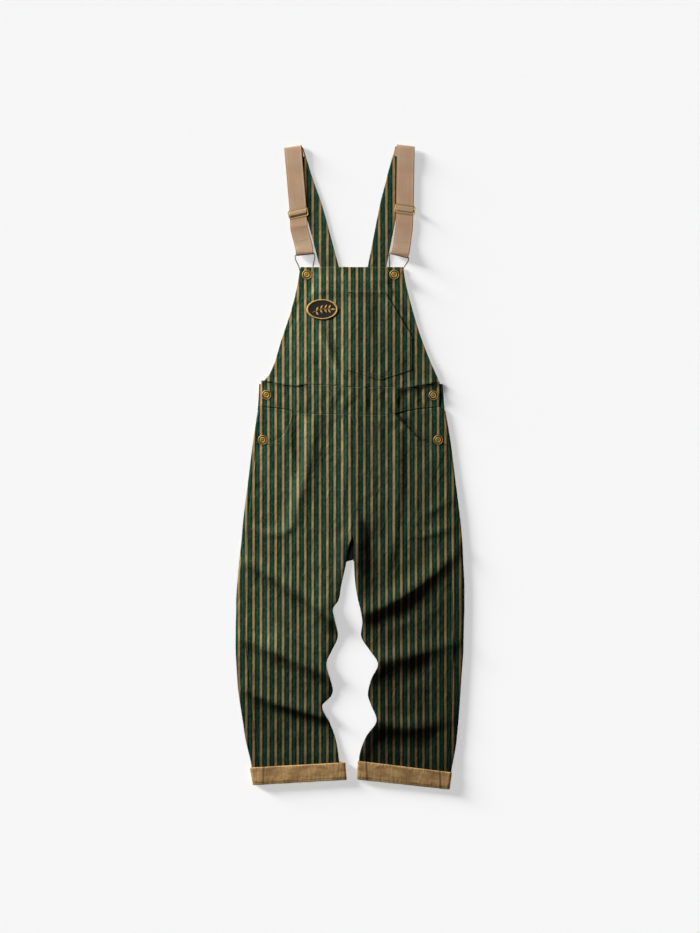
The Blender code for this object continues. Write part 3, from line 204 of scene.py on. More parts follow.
# Painted shade in and beside the creases, and painted highlights along ridges (below 0): the same
# curves, with the share of the colour that is taken off in place of a rise.
PAINTED_SHADING = {"left": (
    ((-58, -304, -38, -344, -32, -380), (13, 13, 13), (0.20, 0.32, 0.10)),
    ((-208, -222, -125, -268, -46, -322), (8, 9, 9), (0.12, 0.26, 0.30)),
    ((-214, -386, -104, -424, -54, -450), (6, 9, 14), (0.22, 0.26, 0.34)),
    ((-206, -494, -110, -519, -46, -536), (8, 11, 15), (0.30, 0.50, 0.50)),
    ((-84, -416, -60, -440, -42, -470), (14, 14, 14), (0.10, 0.34, 0.15)),
    ((-207, -548, -204, -596, -200, -632), (10, 10, 10), (0.30, 0.50, 0.55)),
    ((-180, -326, -158, -343, -132, -362), (20, 20, 20), (-0.10, -0.30, -0.10)),
    ((-116, -8, -117, 45, -124, 100), (9, 9, 9), (0.25, 0.42, 0.30)),
    ((-64, -10, -64, 50, -66, 100), (8, 8, 8), (0.10, 0.28, 0.20)),
    ((-132, -118, -103, -22, -90, 92), (17, 15, 8), (-0.28, -0.42, -0.24)),
    ((-194, -128, -160, -136, -126, -130), (7, 7, 7), (-0.20, -0.34, -0.28)),
    ((-136, 60, -138, 84, -140, 108), (7, 7, 7), (-0.10, -0.40, -0.40)),
    ((-14, -112, -12, -20, -12, 80), (7, 7, 7), (-0.20, -0.22, -0.10)),
    ((-26, -236, -18, -170, -12, -96), (18, 12, 12), (-0.16, -0.28, -0.14)),
    ((-60, -116, -62, -66, -62, -12), (13, 13, 13), (0.10, 0.16, 0.10)),
    ((-86, -508, -66, -514, -48, -520), (12, 12, 12), (0.15, 0.34, 0.30)),
    ((-1, -140, -1, -40, -1, 60), (7, 7, 7), (-0.44, -0.40, -0.16)),
    ((-178, 36, -183, 0, -192, -60), (11, 11, 11), (-0.08, -0.14, -0.06)),
    ((-176, 112, -160, 100, -146, 84), (10, 10, 10), (-0.08, -0.12, -0.06)),
    ((-136, -376, -108, -388, -80, -400), (18, 16, 16), (0.20, 0.46, 0.25)),
), "right": (
    ((28, -122, 36, -172, 33, -212), (12, 16, 16), (0.60, 0.88, 0.66)),
    ((14, -140, 16, -176, 16, -205), (9, 9, 9), (0.20, 0.45, 0.40)),
    ((34, -92, 26, -112, 30, -130), (14, 14, 14), (0.10, 0.25, 0.25)),
    ((33, -212, 29, -250, 25, -285), (14, 14, 14), (0.56, 0.50, 0.30)),
    ((32, -327, 130, -276, 206, -202), (12, 14, 12), (0.40, 0.35, 0.12)),
    ((40, -449, 90, -425, 172, -396), (27, 28, 8), (0.88, 0.66, 0.22)),
    ((52, -560, 104, -562, 194, -534), (20, 18, 8), (0.75, 0.40, 0.25)),
    ((70, -512, 120, -517, 184, -506), (11, 11, 11), (0.15, 0.24, 0.10)),
    ((38, -240, 40, -264, 42, -290), (20, 20, 20), (0.15, 0.25, 0.10)),
    ((108, -222, 150, -192, 190, -162), (14, 14, 14), (0.15, 0.24, 0.16)),
    ((62, -550, 44, -586, 28, -624), (18, 18, 18), (0.40, 0.72, 0.66)),
    ((84, -600, 88, -616, 90, -632), (22, 22, 22), (0.20, 0.26, 0.20)),
    ((94, -212, 114, -60, 110, 60), (8, 8, 8), (0.30, 0.10, 0.40)),
    ((88, -170, 93, -40, 92, 70), (9, 9, 9), (-0.20, -0.30, -0.20)),
    ((102, 107, 112, 97, 119, 86), (4, 4, 4), (0.40, 0.70, 0.40)),
    ((116, 91, 121, 98, 126, 107), (4, 4, 4), (0.50, 0.60, 0.20)),
), "bib": (
    ((-52, 304, -35, 256, -25, 214), (7, 7, 7), (0.20, 0.42, 0.30)),
    ((-66, 276, -44, 230, -18, 176), (7, 7, 7), (-0.20, -0.34, -0.30)),
    ((-10, 190, -10, 290, -10, 396), (6, 6, 6), (-0.20, -0.20, -0.15)),
    ((44, 214, 47, 300, 46, 370), (8, 8, 8), (0.20, 0.28, 0.15)),
    ((-120, 190, -108, 250, -92, 310), (20, 20, 20), (-0.08, -0.16, -0.08)),
    ((86, 240, 102, 222, 120, 206), (16, 16, 16), (0.20, 0.28, 0.20)),
), "band": (
    ((107, 118, 107, 146, 107, 168), (7, 7, 7), (0.50, 0.50, 0.50)),
    ((-170, 138, -120, 148, -60, 140), (16, 16, 16), (-0.04, -0.08, -0.04)),
    ((108, 158, 150, 165, 186, 172), (5, 5, 5), (0.70, 0.75, 0.70)),
    ((-182, 176, -150, 171, -100, 167), (4, 4, 4), (0.35, 0.45, 0.35)),
)}
SHADING_LIMITS = (0.16, 1.5)
RIDGE_SHEEN = 2.1             # how strongly the painted highlights along ridges also turn the cloth pale, as a painted sheen
FOLD_STEPS = 16
SOFT, SHARP = 2.0, 1.55     # how the two flanks of a fold fall away

rng = np.random.default_rng(7)


# ---- small helpers ----
def mix(a, b, t):
    return a + (b - a) * t


def smooth(low, high, value):
    """0 below low, 1 above high, with a soft step between; low may exceed high."""
    part = np.clip((np.asarray(value, float) - low) / (high - low), 0.0, 1.0)
    return part * part * (3.0 - 2.0 * part)


def hump(away, width):
    """1 at no distance, falling off evenly over a width."""
    return np.exp(-(away / width) ** 2)


def unit(vectors):
    """Vectors, one in each row, made 1 long."""
    return vectors / np.maximum(np.linalg.norm(vectors, axis=1)[:, None], 1e-9)


def through(places, values, where):
    """Smooth curve through values at places, read at where."""
    order = np.argsort(places)
    p, v = np.asarray(places, float)[order], np.asarray(values, float)[order]
    last = len(p) - 1
    steps = np.arange(last + 1)
    before, after = np.maximum(steps - 1, 0), np.minimum(steps + 1, last)
    slope = (v[after] - v[before]) / (p[after] - p[before])
    at = np.clip(np.asarray(where, float), p[0], p[-1])
    i = np.clip(np.searchsorted(p, at, side="right") - 1, 0, last - 1)
    span = p[i + 1] - p[i]
    t = (at - p[i]) / span
    rise = (2 * t ** 3 - 3 * t ** 2 + 1) * v[i] + (t ** 3 - 2 * t ** 2 + t) * span * slope[i]
    return rise + (3 * t ** 2 - 2 * t ** 3) * v[i + 1] + (t ** 3 - t ** 2) * span * slope[i + 1]


def lookup(table, key, column, where):
    return through([getattr(row, key) for row in table],
                   [getattr(row, column) for row in table], where)


def edges(rows, y, left="left", right="right"):
    """Two columns of a table at heights."""
    return lookup(rows, "y", left, y), lookup(rows, "y", right, y)


def band_low(x):
    return lookup(BAND_BOTTOM, "x", "y", x)


def band_high(x):
    return lookup(BAND_TOP, "x", "y", x)


def fold_rise(panel, x, y, table=FOLDS):
    """Height that the folds and creases of a panel add at points."""
    x, y = np.broadcast_arrays(np.asarray(x, float), np.asarray(y, float))
    height = np.zeros(x.shape)
    for fold in (Fold(*row) for row in table[panel]):
        start, middle, end = np.reshape(fold.places, (3, 2)).astype(float)
        left, right, right_end = fold.widths
        handle = 2 * middle - (start + end) / 2
        ts = np.linspace(0.0, 1.0, FOLD_STEPS + 1)[:, None]
        curve = (1 - ts) ** 2 * start + 2 * ts * (1 - ts) * handle + ts ** 2 * end
        best, best_t, side = np.full(x.shape, 1e9), np.zeros(x.shape), np.ones(x.shape)
        for i in range(FOLD_STEPS):
            (ax, ay), (dx, dy) = curve[i], curve[i + 1] - curve[i]
            part = np.clip(((x - ax) * dx + (y - ay) * dy) / (dx * dx + dy * dy), 0.0, 1.0)
            away = np.hypot(x - ax - dx * part, y - ay - dy * part)
            near = away < best
            best = np.where(near, away, best)
            best_t = np.where(near, (i + part) / FOLD_STEPS, best_t)
            side = np.where(near, dx * (y - ay) - dy * (x - ax), side)
        rise = np.interp(best_t, (0.0, 0.5, 1.0), fold.rises)
        flank = np.where(side > 0, left, mix(right, right_end, best_t))
        height += rise * np.exp(-(best / flank) ** np.where(side > 0, SOFT, SHARP))
    return height


def tone(panel, x, y):
    """Share of its colour that the painted shade and painted highlights leave the cloth at points.
    """
    return np.clip(1.0 - fold_rise(panel, x, y, PAINTED_SHADING), *SHADING_LIMITS)


def worn(panel, x, y):
    """How much the cloth is turned pale by painted sheen where it has painted highlights."""
    return RIDGE_SHEEN * np.maximum(-fold_rise(panel, x, y, PAINTED_SHADING), 0.0)


SLACK_WAVES, SLACK_LENGTHS, SLACK_TURNS = 30, (18.0, 90.0), (-1.1, 1.1)
GATHER_SCALE, GATHERED_SIDES = 2.7, (-150.0, -40.0)
PUCKER_WAVES = ((8.7, 0.0, 31.0), (5.6, 1.9, 17.0))     # wavelength, phase, drift


def slack_waves():
    """Lengths, directions and phases of the faint waves left in worn cloth."""
    draw = np.random.default_rng(31)
    return list(zip(*(draw.uniform(*limits, SLACK_WAVES)
                      for limits in (SLACK_LENGTHS, SLACK_TURNS, (0.0, 2 * pi)))))


SLACK = slack_waves()


def slack(x, y, rise):
    """Faint crumple of worn cloth, about rise high, mostly running down the warp."""
    total = 0.0
    for length, angle, phase in SLACK:
        at = 2 * pi * (x * cos(angle) + y * sin(angle) * 0.7) / length + phase
        total = total + (length / 60.0) ** 0.8 * np.sin(at)
    return rise * total / np.sqrt(SLACK_WAVES / 2)


def gathers(x, y, rise):
    """Short uneven waves where the waist is drawn in, deepest towards the right."""
    share = mix(0.5, 1.0, smooth(*GATHERED_SIDES, x))
    return slack(x * GATHER_SCALE, y * GATHER_SCALE, rise) * share


def pucker(along_seam, from_seam, rise=0.22, reach=6.0):
    """Ripples that a line of sewing draws up in the cloth beside it."""
    ripple = sum(np.sin(2 * pi * along_seam / wave + phase + 1.6 * np.sin(along_seam / drift))
                 for wave, phase, drift in PUCKER_WAVES)
    return rise * 0.5 * ripple * np.exp(-np.abs(from_seam) / reach)


def spread(length, apart, close=(0.0, 0.6, 1.4, 2.6)):
    """Places from 0 to length, closer together near both ends, as parts of the length."""
    close = [c for c in close if c < length / 2.5]
    low, high = close[-1], length - close[-1]
    count = max(2, int(round((high - low) / apart)))
    middle = np.linspace(low, high, count + 1)
    return np.concatenate([close[:-1], middle, [length - c for c in close[:-1]][::-1]]) / length


def turning(steps, start=-pi / 2, end=pi / 2):
    """Angles at even steps from start to end."""
    return start + (end - start) * np.arange(steps + 1) / steps


# ---- finishes ----
class Value:
    """What an output of a node gives. Sums and products of values add nodes to its tree."""

    def __init__(self, socket):
        self.socket, self.tree, self.split = socket, socket.id_data, None

    def __abs__(self):
        return maths("ABSOLUTE", self)

    def parts(self):
        """The first two numbers of a vector: across and along the cloth."""
        if self.split is None:
            outputs = node(self.tree, "ShaderNodeSeparateXYZ", (self,)).outputs
            self.split = Value(outputs[0]), Value(outputs[1])
        return self.split


def put(socket, value):
    if isinstance(value, Value):
        socket.id_data.links.new(value.socket, socket)
    else:
        socket.default_value = value


def node(tree, kind, inputs=(), **settings):
    """New node with its settings, its inputs filled in order or by name."""
    made = tree.nodes.new(kind)
    for key, value in settings.items():
        setattr(made, key, value)
    for key, value in inputs.items() if isinstance(inputs, dict) else enumerate(inputs):
        put(made.inputs[key], value)
    return made


def tree_of(*values):
    return next(value.tree for value in values if isinstance(value, Value))


def maths(operation, *values):
    return Value(node(tree_of(*values), "ShaderNodeMath", values, operation=operation).outputs[0])


for sign, operation in (("add", "ADD"), ("sub", "SUBTRACT"), ("mul", "MULTIPLY"),
                        ("truediv", "DIVIDE"), ("mod", "FLOORED_MODULO")):
    setattr(Value, "__%s__" % sign, lambda a, b, way=operation: maths(way, a, b))
    setattr(Value, "__r%s__" % sign, lambda a, b, way=operation: maths(way, b, a))


def blend(share, first, second, kind="RGBA"):
    """Colour between two colours, or value between two values."""
    given = {"Factor": share, "A": first, "B": second}
    made = node(tree_of(share, first, second), "ShaderNodeMix", given, data_type=kind)
    return Value(made.outputs["Result"])


def step(value, low, high):
    given = {"Value": value, "From Min": low, "From Max": high}
    return Value(node(value.tree, "ShaderNodeMapRange", given,
                      interpolation_type="SMOOTHSTEP").outputs["Result"])


def shade(colour, value):
    """Colour times a value."""
    plain = colour[:3] if isinstance(colour, tuple) else colour
    made = node(value.tree, "ShaderNodeVectorMath", {0: plain, "Scale": value}, operation="SCALE")
    return Value(made.outputs[0])


def noise(place, scale, detail=2.0, roughness=0.5):
    given = {"Vector": place, "Scale": scale, "Detail": detail, "Roughness": roughness}
    return Value(node(place.tree, "ShaderNodeTexNoise", given).outputs["Fac"])


def drawn_noise(cloth, across, along, layer=0.0, detail=2.0, roughness=0.5):
    """Noise drawn out along the cloth by different scales across and along."""
    u, v = cloth.parts()
    place = node(cloth.tree, "ShaderNodeCombineXYZ", (u * across, v * along, layer)).outputs[0]
    return noise(Value(place), 1.0, detail, roughness)


def woven_stripe(given):
    """Warp stripes: a tan band, and a green band with a lighter middle."""
    across, _ = given["Cloth"].parts()
    pitch, period = given["Yarn pitch"], given["Period"]
    yarn = (maths("FLOOR", across / pitch) + 0.5) * pitch
    half = period * 0.5
    away = abs((yarn - given["Start"] + half) % period - half)
    tan_half = given["Tan width"] * 0.5
    tan = maths("LESS_THAN", away, tan_half)
    core = 1.0 - step(half - away, 1.2, 2.2)
    edge = tan * maths("LESS_THAN", abs(away - tan_half), 0.75)
    return {"Tan": tan, "Core": core, "Edge": edge}


def twill_yarns(given):
    """Two-over-one twill of round yarns: height of the cloth and where the weft shows."""
    u, v = (part / given["Yarn pitch"] for part in given["Cloth"].parts())
    order = maths("FLOOR", u) + maths("FLOOR", v)
    weft = maths("COMPARE", order % 3.0, 0.0, 0.1)

    def round_yarn(value):
        part = maths("FRACT", value) * 2.0 - 1.0
        return 1.0 - part * part

    return {"Height": blend(weft, round_yarn(u), round_yarn(v) * 0.75, "FLOAT"), "Weft": weft}


def yarn_streaks(given):
    """Uneven dye and thickness of single yarns, drawn out along the warp."""
    fine, wide, cloudy = (drawn_noise(given["Cloth"], *scales) for scales in (
        (1.1, 0.03), (0.30, 0.012, 7.0), (0.02, 0.02, 3.0, 3.0)))
    total = fine - 0.5 + ((wide - 0.5) * 0.8 + (cloudy - 0.5) * 0.7)
    return {"Value": 1.0 + total * given["Strength"]}


def fine_crumple(given):
    """Small crossing creases of stiff cloth, and where they have scuffed it."""
    wide, close = (1.0 - abs(drawn_noise(given["Cloth"], *scales, 1.0, 0.4) - 0.5) * 5.0
                   for scales in ((0.060, 0.030, 0.0), (0.120, 0.062, 11.0)))
    grain = drawn_noise(given["Cloth"], 1.4, 0.22, 5.0, 3.0)
    return {"Height": (wide + close * 0.40) * given["Depth"],
            "Scuff": step(close, 0.50, 1.0) * step(grain, 0.42, 0.62)}


def rubbed_edges(given):
    """Colour worn lighter where edges rub, and painted paler as a sheen along ridges."""
    flat = node(given["Cloth"].tree, "ShaderNodeCombineXYZ", given["Cloth"].parts()).outputs[0]
    speckle = noise(Value(flat), 1.7, 3.0)
    share = given["Rub"] * step(speckle, 0.30, 0.62) * given["Strength"]
    return {"Colour": blend(share, given["Colour"], given["Worn colour"])}


def spoken(inputs):
    """The same inputs under names with spaces."""
    return {key.replace("_", " "): value for key, value in inputs.items()}


def effect(name, build, outputs, **inputs):
    """Node group with named inputs and outputs; build fills it in."""
    tree = bpy.data.node_groups.new(name, "ShaderNodeTree")
    kinds = {1: "Float", 3: "Vector", 4: "Color"}
    inputs = {"Cloth": (0.0, 0.0, 0.0), **spoken(inputs)}
    for label, default in inputs.items():
        kind = "NodeSocket" + kinds[np.size(default)]
        tree.interface.new_socket(label, in_out="INPUT", socket_type=kind).default_value = default
    for label in outputs:
        kind = "NodeSocket" + ("Color" if label == "Colour" else "Float")
        tree.interface.new_socket(label, in_out="OUTPUT", socket_type=kind)
    given, result = tree.nodes.new("NodeGroupInput"), tree.nodes.new("NodeGroupOutput")
    made = build({label: Value(given.outputs[label]) for label in inputs})
    for label in outputs:
        put(result.inputs[label], made[label])
    return tree


YARN_PITCH, STRIPE_PERIOD, STRIPE_START, TAN_WIDTH = 0.516, 15.477, -1.0, 5.1
WHITE = (1.0, 1.0, 1.0, 1.0)
STRIPE = effect("woven stripe", woven_stripe, ("Tan", "Core", "Edge"), Yarn_pitch=YARN_PITCH,
                Period=STRIPE_PERIOD, Start=STRIPE_START, Tan_width=TAN_WIDTH)
TWILL = effect("twill yarns", twill_yarns, ("Height", "Weft"), Yarn_pitch=YARN_PITCH)
STREAKS = effect("yarn streaks", yarn_streaks, ("Value",), Strength=0.4)
CRUMPLE = effect("fine crumple", fine_crumple, ("Height", "Scuff"), Depth=0.4)
# The rub this effect is given holds both worn edges and the painted sheen along ridges.
RUBBED_AND_SHEEN = effect("rubbed edges", rubbed_edges, ("Colour",), Colour=WHITE, Worn_colour=WHITE, Rub=0.0,
                Strength=0.5)

DARK_GREEN, CORE_GREEN = (0.0026, 0.0270, 0.0150, 1.0), (0.0100, 0.0560, 0.0320, 1.0)
# The second colour below is the pale green of scuffs, also used for the painted sheen along ridges.
WEFT_GREEN, SCUFF_AND_SHEEN = (0.014, 0.044, 0.027, 1.0), (0.165, 0.225, 0.160, 1.0)
STRIPE_TAN, REDDER_TAN = (0.355, 0.235, 0.090, 1.0), (0.372, 0.208, 0.092, 1.0)
TAN_EDGE = (0.200, 0.098, 0.042, 1.0)
KHAKI_REVERSE, KHAKI_SHADE = (0.62, 0.380, 0.162, 1.0), (0.375, 0.222, 0.090, 1.0)
# The khaki reverse, painted near black as the shadow deep inside the legs.
KHAKI_IN_SHADOW = (0.010, 0.009, 0.006, 1.0)
ELASTIC_SAND, ELASTIC_GREY = (0.310, 0.196, 0.122, 1.0), (0.305, 0.216, 0.140, 1.0)
ELASTIC_EDGE = (0.25, 0.115, 0.060, 1.0)
PATCH_BLACK, GOLD_THREAD = (0.012, 0.014, 0.012, 1.0), (0.50, 0.30, 0.10, 1.0)
SEWING_GREEN, SEWING_KHAKI = (0.066, 0.112, 0.066, 1.0), (0.40, 0.28, 0.14, 1.0)
OLD_BRASS, DARK_BRASS = (0.42, 0.27, 0.085, 1.0), (0.035, 0.022, 0.008, 1.0)
WEAVE_DEPTH = 0.09      # height of the twill's yarns
RIB, PICK = pi / 1.5, pi / 0.8      # the webbing's cords and its weft
CLOTH_GLOSS, BRASS_GLOSS = 0.03, 0.5


def cloth_place(tree):
    return Value(node(tree, "ShaderNodeUVMap", uv_map="cloth").outputs["UV"])


def body_place(tree):
    return Value(node(tree, "ShaderNodeTexCoord").outputs["Object"])


def painted(tree, name):
    """What the making of a piece has painted on its points."""
    return Value(node(tree, "ShaderNodeAttribute", attribute_name=name).outputs["Fac"])


def laid(group, cloth, **inputs):
    """One of the shared effects, placed in the material that cloth belongs to."""
    made = node(cloth.tree, "ShaderNodeGroup", {"Cloth": cloth, **spoken(inputs)}, node_tree=group)
    return {output.name: Value(output) for output in made.outputs}


def aged(cloth, colour, unevenness):
    """Colour with the uneven dye of its yarns, times the painted shade, highlights and tint held on
    the piece's points.
    """
    streaks = laid(STREAKS, cloth, Strength=unevenness)
    return shade(shade(colour, streaks["Value"]), painted(cloth.tree, "depth"))


def striped_twill(tree):
    cloth = cloth_place(tree)
    stripe, weave = laid(STRIPE, cloth), laid(TWILL, cloth)
    green = blend(stripe["Core"], DARK_GREEN, CORE_GREEN)
    lots = drawn_noise(cloth, 0.11, 0.045, 21.0)
    tan = blend(step(lots, 0.40, 0.60), STRIPE_TAN, REDDER_TAN)
    tan = blend(stripe["Edge"] * 0.55, tan, TAN_EDGE)
    dyed = blend(weave["Weft"] * 0.30, blend(stripe["Tan"], green, tan), WEFT_GREEN)
    # Worn edges, and the painted sheen along ridges, lighten the cloth here.
    rubbed = laid(RUBBED_AND_SHEEN, cloth, Colour=dyed, Worn_colour=blend(0.5, dyed, SCUFF_AND_SHEEN),
                  Rub=painted(tree, "rub"), Strength=0.35)
    crumple = laid(CRUMPLE, cloth, Depth=0.68)
    scuffed = blend(crumple["Scuff"] * 0.22, rubbed["Colour"], SCUFF_AND_SHEEN)
    return {"Base Color": aged(cloth, scuffed, 0.80),
            "Roughness": 0.94 - weave["Height"] * 0.10,
            "Height": weave["Height"] * WEAVE_DEPTH + crumple["Height"]}


def reverse_twill(tree):
    cloth = cloth_place(tree)
    weave, stripe = laid(TWILL, cloth), laid(STRIPE, cloth)
    ground = blend(weave["Weft"] * 0.18, KHAKI_REVERSE, WEFT_GREEN)
    ground = blend(stripe["Tan"] * 0.10, ground, STRIPE_TAN)
    clouds = drawn_noise(cloth, 0.026, 0.075, 0.0, 3.0)
    ground = blend(step(clouds, 0.42, 0.66), ground, KHAKI_SHADE)
    return {"Base Color": aged(cloth, ground, 0.17),
            "Height": weave["Height"] * WEAVE_DEPTH + laid(CRUMPLE, cloth, Depth=0.35)["Height"]}


def shaded_inside(tree):
    """Reverse of the cloth deep inside the legs, painted near black as painted shadow, with painted
    shade between its yarns.
    """
    cloth = cloth_place(tree)
    weave, streaks = laid(TWILL, cloth), laid(STREAKS, cloth, Strength=0.3)
    return {"Base Color": shade(shade(KHAKI_IN_SHADOW, streaks["Value"]), 0.8 + weave["Height"]),
            "Height": weave["Height"] * WEAVE_DEPTH}


def elastic_webbing(tree):
    """Ribbed elastic: cords along its length bound by fine weft."""
    cloth = cloth_place(tree)
    across, along = cloth.parts()
    rib = abs(maths("SINE", across * RIB))
    pick = abs(maths("SINE", along * PICK + across * RIB))
    height = rib * 0.7 + pick * 0.3
    clouds = drawn_noise(cloth, 0.035, 0.028, 4.0, 3.0)
    ground = blend(step(clouds, 0.38, 0.64), ELASTIC_SAND, ELASTIC_GREY)
    from_middle = abs(across)
    selvedge = maths("COMPARE", from_middle, 15.2, 0.9)
    ground = shade(ground, 1.0 + selvedge * 0.16)
    ground = blend(step(from_middle, 16.4, 17.2) * 0.85, ground, ELASTIC_EDGE)
    # Painted shade in the grooves between the cords and picks.
    ground = shade(ground, 0.86 + height * 0.22)
    return {"Base Color": aged(cloth, ground, 0.25), "Height": height * 0.13}


def patch_felt(tree):
    fibres = noise(cloth_place(tree), 2.2, 4.0, 0.7)
    return {"Base Color": shade(PATCH_BLACK, 0.5 + fibres), "Height": fibres * 0.12}


def thread(colour):
    def build(tree):
        ply = noise(body_place(tree), 900.0)
        return {"Base Color": shade(colour, 0.62 + ply * 0.75), "Height": ply * 0.03}
    return build


def old_brass(tree):
    """Brass that has darkened in its hollows."""
    place = body_place(tree)
    patches, fine = noise(place, 420.0, 4.0, 0.6), noise(place, 2600.0)
    dark = painted(tree, "hollow") * (0.70 + patches * 0.5) + step(patches, 0.50, 0.80) * 0.30
    return {"Base Color": blend(maths("MINIMUM", dark, 1.0), OLD_BRASS, DARK_BRASS),
            "Roughness": 0.52 + (fine * 0.12 + dark * 0.25), "Height": fine * 0.01}


def finish(build, name=None, roughness=0.9, sheen=0.0, metallic=0.0):
    """Material; build returns what feeds the colour, roughness and height."""
    material = bpy.data.materials.new(name or build.__name__)
    material.use_nodes = True
    tree = material.node_tree
    shader = tree.nodes["Principled BSDF"]
    made = build(tree)
    relief = {"Strength": 1.0, "Distance": MM, "Height": made.pop("Height")}
    made["Normal"] = Value(node(tree, "ShaderNodeBump", relief).outputs["Normal"])
    plain = {"Roughness": roughness, "Metallic": metallic, "Sheen Weight": sheen,
             "Sheen Roughness": 0.5, "Specular IOR Level": BRASS_GLOSS if metallic else CLOTH_GLOSS}
    for key, value in [*plain.items(), *made.items()]:
        put(shader.inputs[key], value)
    return material


STRIPED = finish(striped_twill, sheen=0.01)
REVERSE = finish(reverse_twill, sheen=0.02)
INSIDE = finish(shaded_inside, roughness=1.0)
ELASTIC = finish(elastic_webbing, sheen=0.05)
FELT = finish(patch_felt, sheen=0.2)
GOLD = finish(thread(GOLD_THREAD), "gold_thread", 0.55)
SEWING = finish(thread(SEWING_GREEN), "sewing_thread", 0.7)
SEWING_PALE = finish(thread(SEWING_KHAKI), "sewing_thread_khaki", 0.7)
BRASS = finish(old_brass, roughness=0.3, metallic=1.0)

# ---- making pieces ----
def add_piece(name, points, faces, materials, solid=None, cloth=None, values=None,
              which=None):
    """Object from points in millimetres, in place of a solid where one is named.

    cloth holds each point's place on the flat cloth, values what is painted on the points
    and which the number of each face's material.
    """
    mesh = bpy.data.meshes.new(name)
    mesh.from_pydata((np.asarray(points) * MM).tolist(), [], [list(map(int, f)) for f in faces])
    for material in materials:
        mesh.materials.append(material)
    if which is not None:
        mesh.polygons.foreach_set("material_index", np.asarray(which, np.int32))
    for key, given in (values or {}).items():
        layer = mesh.attributes.new(key, "FLOAT", "POINT")
        layer.data.foreach_set("value", np.asarray(given, np.float32).ravel())
    if cloth is not None:
        layer = mesh.uv_layers.new(name="cloth")
        corners = np.empty(len(mesh.loops), np.int32)
        mesh.loops.foreach_get("vertex_index", corners)
        layer.uv.foreach_set("vector", np.asarray(cloth, np.float32)[corners].ravel())
    build = bmesh.new()
    build.from_mesh(mesh)
    bmesh.ops.recalc_face_normals(build, faces=build.faces)
    build.to_mesh(mesh)
    build.free()
    mesh.shade_smooth()
    piece = bpy.data.objects.new(name, mesh)
    bpy.context.scene.collection.objects.link(piece)
    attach(piece, "root")
    if solid:
        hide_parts(solid)
    return piece


def grid(x, y, z):
    """Grid of points from their three coordinates."""
    return np.stack(np.broadcast_arrays(x, y, z), -1)


def quads(index):
    """Faces of a grid of point numbers."""
    corners = [index[:-1, :-1], index[:-1, 1:], index[1:, 1:], index[1:, :-1]]
    return np.stack(corners, -1).reshape(-1, 4)


def ring_quads(index):
    return quads(np.concatenate([index, index[:, :1]], axis=1))


def strip(first, second):
    """Faces between two closed loops of point numbers."""
    return np.stack([first, np.roll(first, -1), np.roll(second, -1), second], -1)


def turned(rings):
    """Points and faces of a body through rings of points, capped at both ends."""
    points = np.concatenate(rings)
    index = np.arange(len(points)).reshape(len(rings), -1)
    return points, list(ring_quads(index)) + [index[0], index[-1]]


RIM_DROP = 0.2          # share of the thickness that an edge is rounded down by
RIM_BULGE = 0.28        # and that it stands out by


def shell(solid, kind, slot, top, under, cloth, materials, rub=0.0, depth=1.0, ring=False):
    """Closed piece between two grids of points, with a rounded rim, in place of its solid.

    cloth holds the place of each point on the flat cloth; a ring has no sides.
    """
    rows, columns = top.shape[:2]
    count = rows * columns
    index = np.arange(count).reshape(rows, columns)
    if ring:
        loops = [(index[0], index[1]), (index[-1], index[-2])]
    else:
        edge = np.concatenate([index[0], index[1:, -1], index[-1, -2::-1], index[-2:0:-1, 0]])
        inner = np.concatenate([index[1], index[1:, -2], index[-2, -2::-1], index[-2:0:-1, 1]])
        loops = [(edge, inner)]
    upper, lower = top.reshape(-1, 3).copy(), under.reshape(-1, 3).copy()
    flat = np.asarray(cloth, float).reshape(-1, 2)
    rub, depth = (np.broadcast_to(value, (rows, columns)).ravel() for value in (rub, depth))
    lining, fill = len(materials) - 1, ring_quads if ring else quads
    faces = [fill(index), fill(index + count)]
    which = [np.zeros(len(faces[0])), np.full(len(faces[1]), lining)]
    first, rims = 2 * count, []
    for edge, inner in loops:
        wall, outward = lower[edge] - upper[edge], upper[edge] - upper[inner]
        thick = np.linalg.norm(wall, axis=1)[:, None]
        wall_way = wall / thick
        outward = unit(outward - wall_way * (outward * wall_way).sum(1)[:, None])
        rim = (upper[edge] + lower[edge]) / 2 + outward * thick * RIM_BULGE
        rims.append(np.column_stack([rim, flat[edge], rub[edge] * 0.5, depth[edge]]))
        upper[edge] += wall * RIM_DROP
        lower[edge] -= wall * RIM_DROP
        numbers = first + np.arange(len(edge))
        first += len(edge)
        faces += [strip(edge, numbers), strip(numbers, edge + count)]
        which += [np.zeros(len(edge)), np.full(len(edge), lining)]
    table = np.concatenate([np.column_stack([upper, flat, rub, depth]),
                            np.column_stack([lower, flat, rub * 0, depth]), *rims])
    return add_piece(solid + "_" + kind, table[:, :3], np.concatenate(faces), materials,
                     solid, table[:, 3:5], {"rub": table[:, 5], "depth": table[:, 6]},
                     np.concatenate(which))


def declare_sheet(cloth, rests_on, round_width=None):
    """Works out the size and area that a cloth piece was cut to, and does nothing more with them;
    round_width is that of a tube.
    """
    width, length = round_width or np.ptp(cloth[..., 0]), np.ptp(cloth[..., 1])
    a, b = cloth[1:, 1:] - cloth[:-1, :-1], cloth[1:, :-1] - cloth[:-1, 1:]
    area = 0.5 * np.abs(a[..., 0] * b[..., 1] - a[..., 1] * b[..., 0]).sum()
    area = width * length if round_width else min(area, width * length)


RUBBED_ROWS = 2.0


def edge_rub(top, ring=False):
    """1 along the border of a grid, fading over a few rows and columns."""
    rows, columns = (np.minimum(np.arange(n), np.arange(n)[::-1]) for n in top.shape[:2])
    near = rows[:, None] if ring else np.minimum(rows[:, None], columns[None, :])
    return np.clip(1.0 - near / RUBBED_ROWS, 0.0, 1.0)


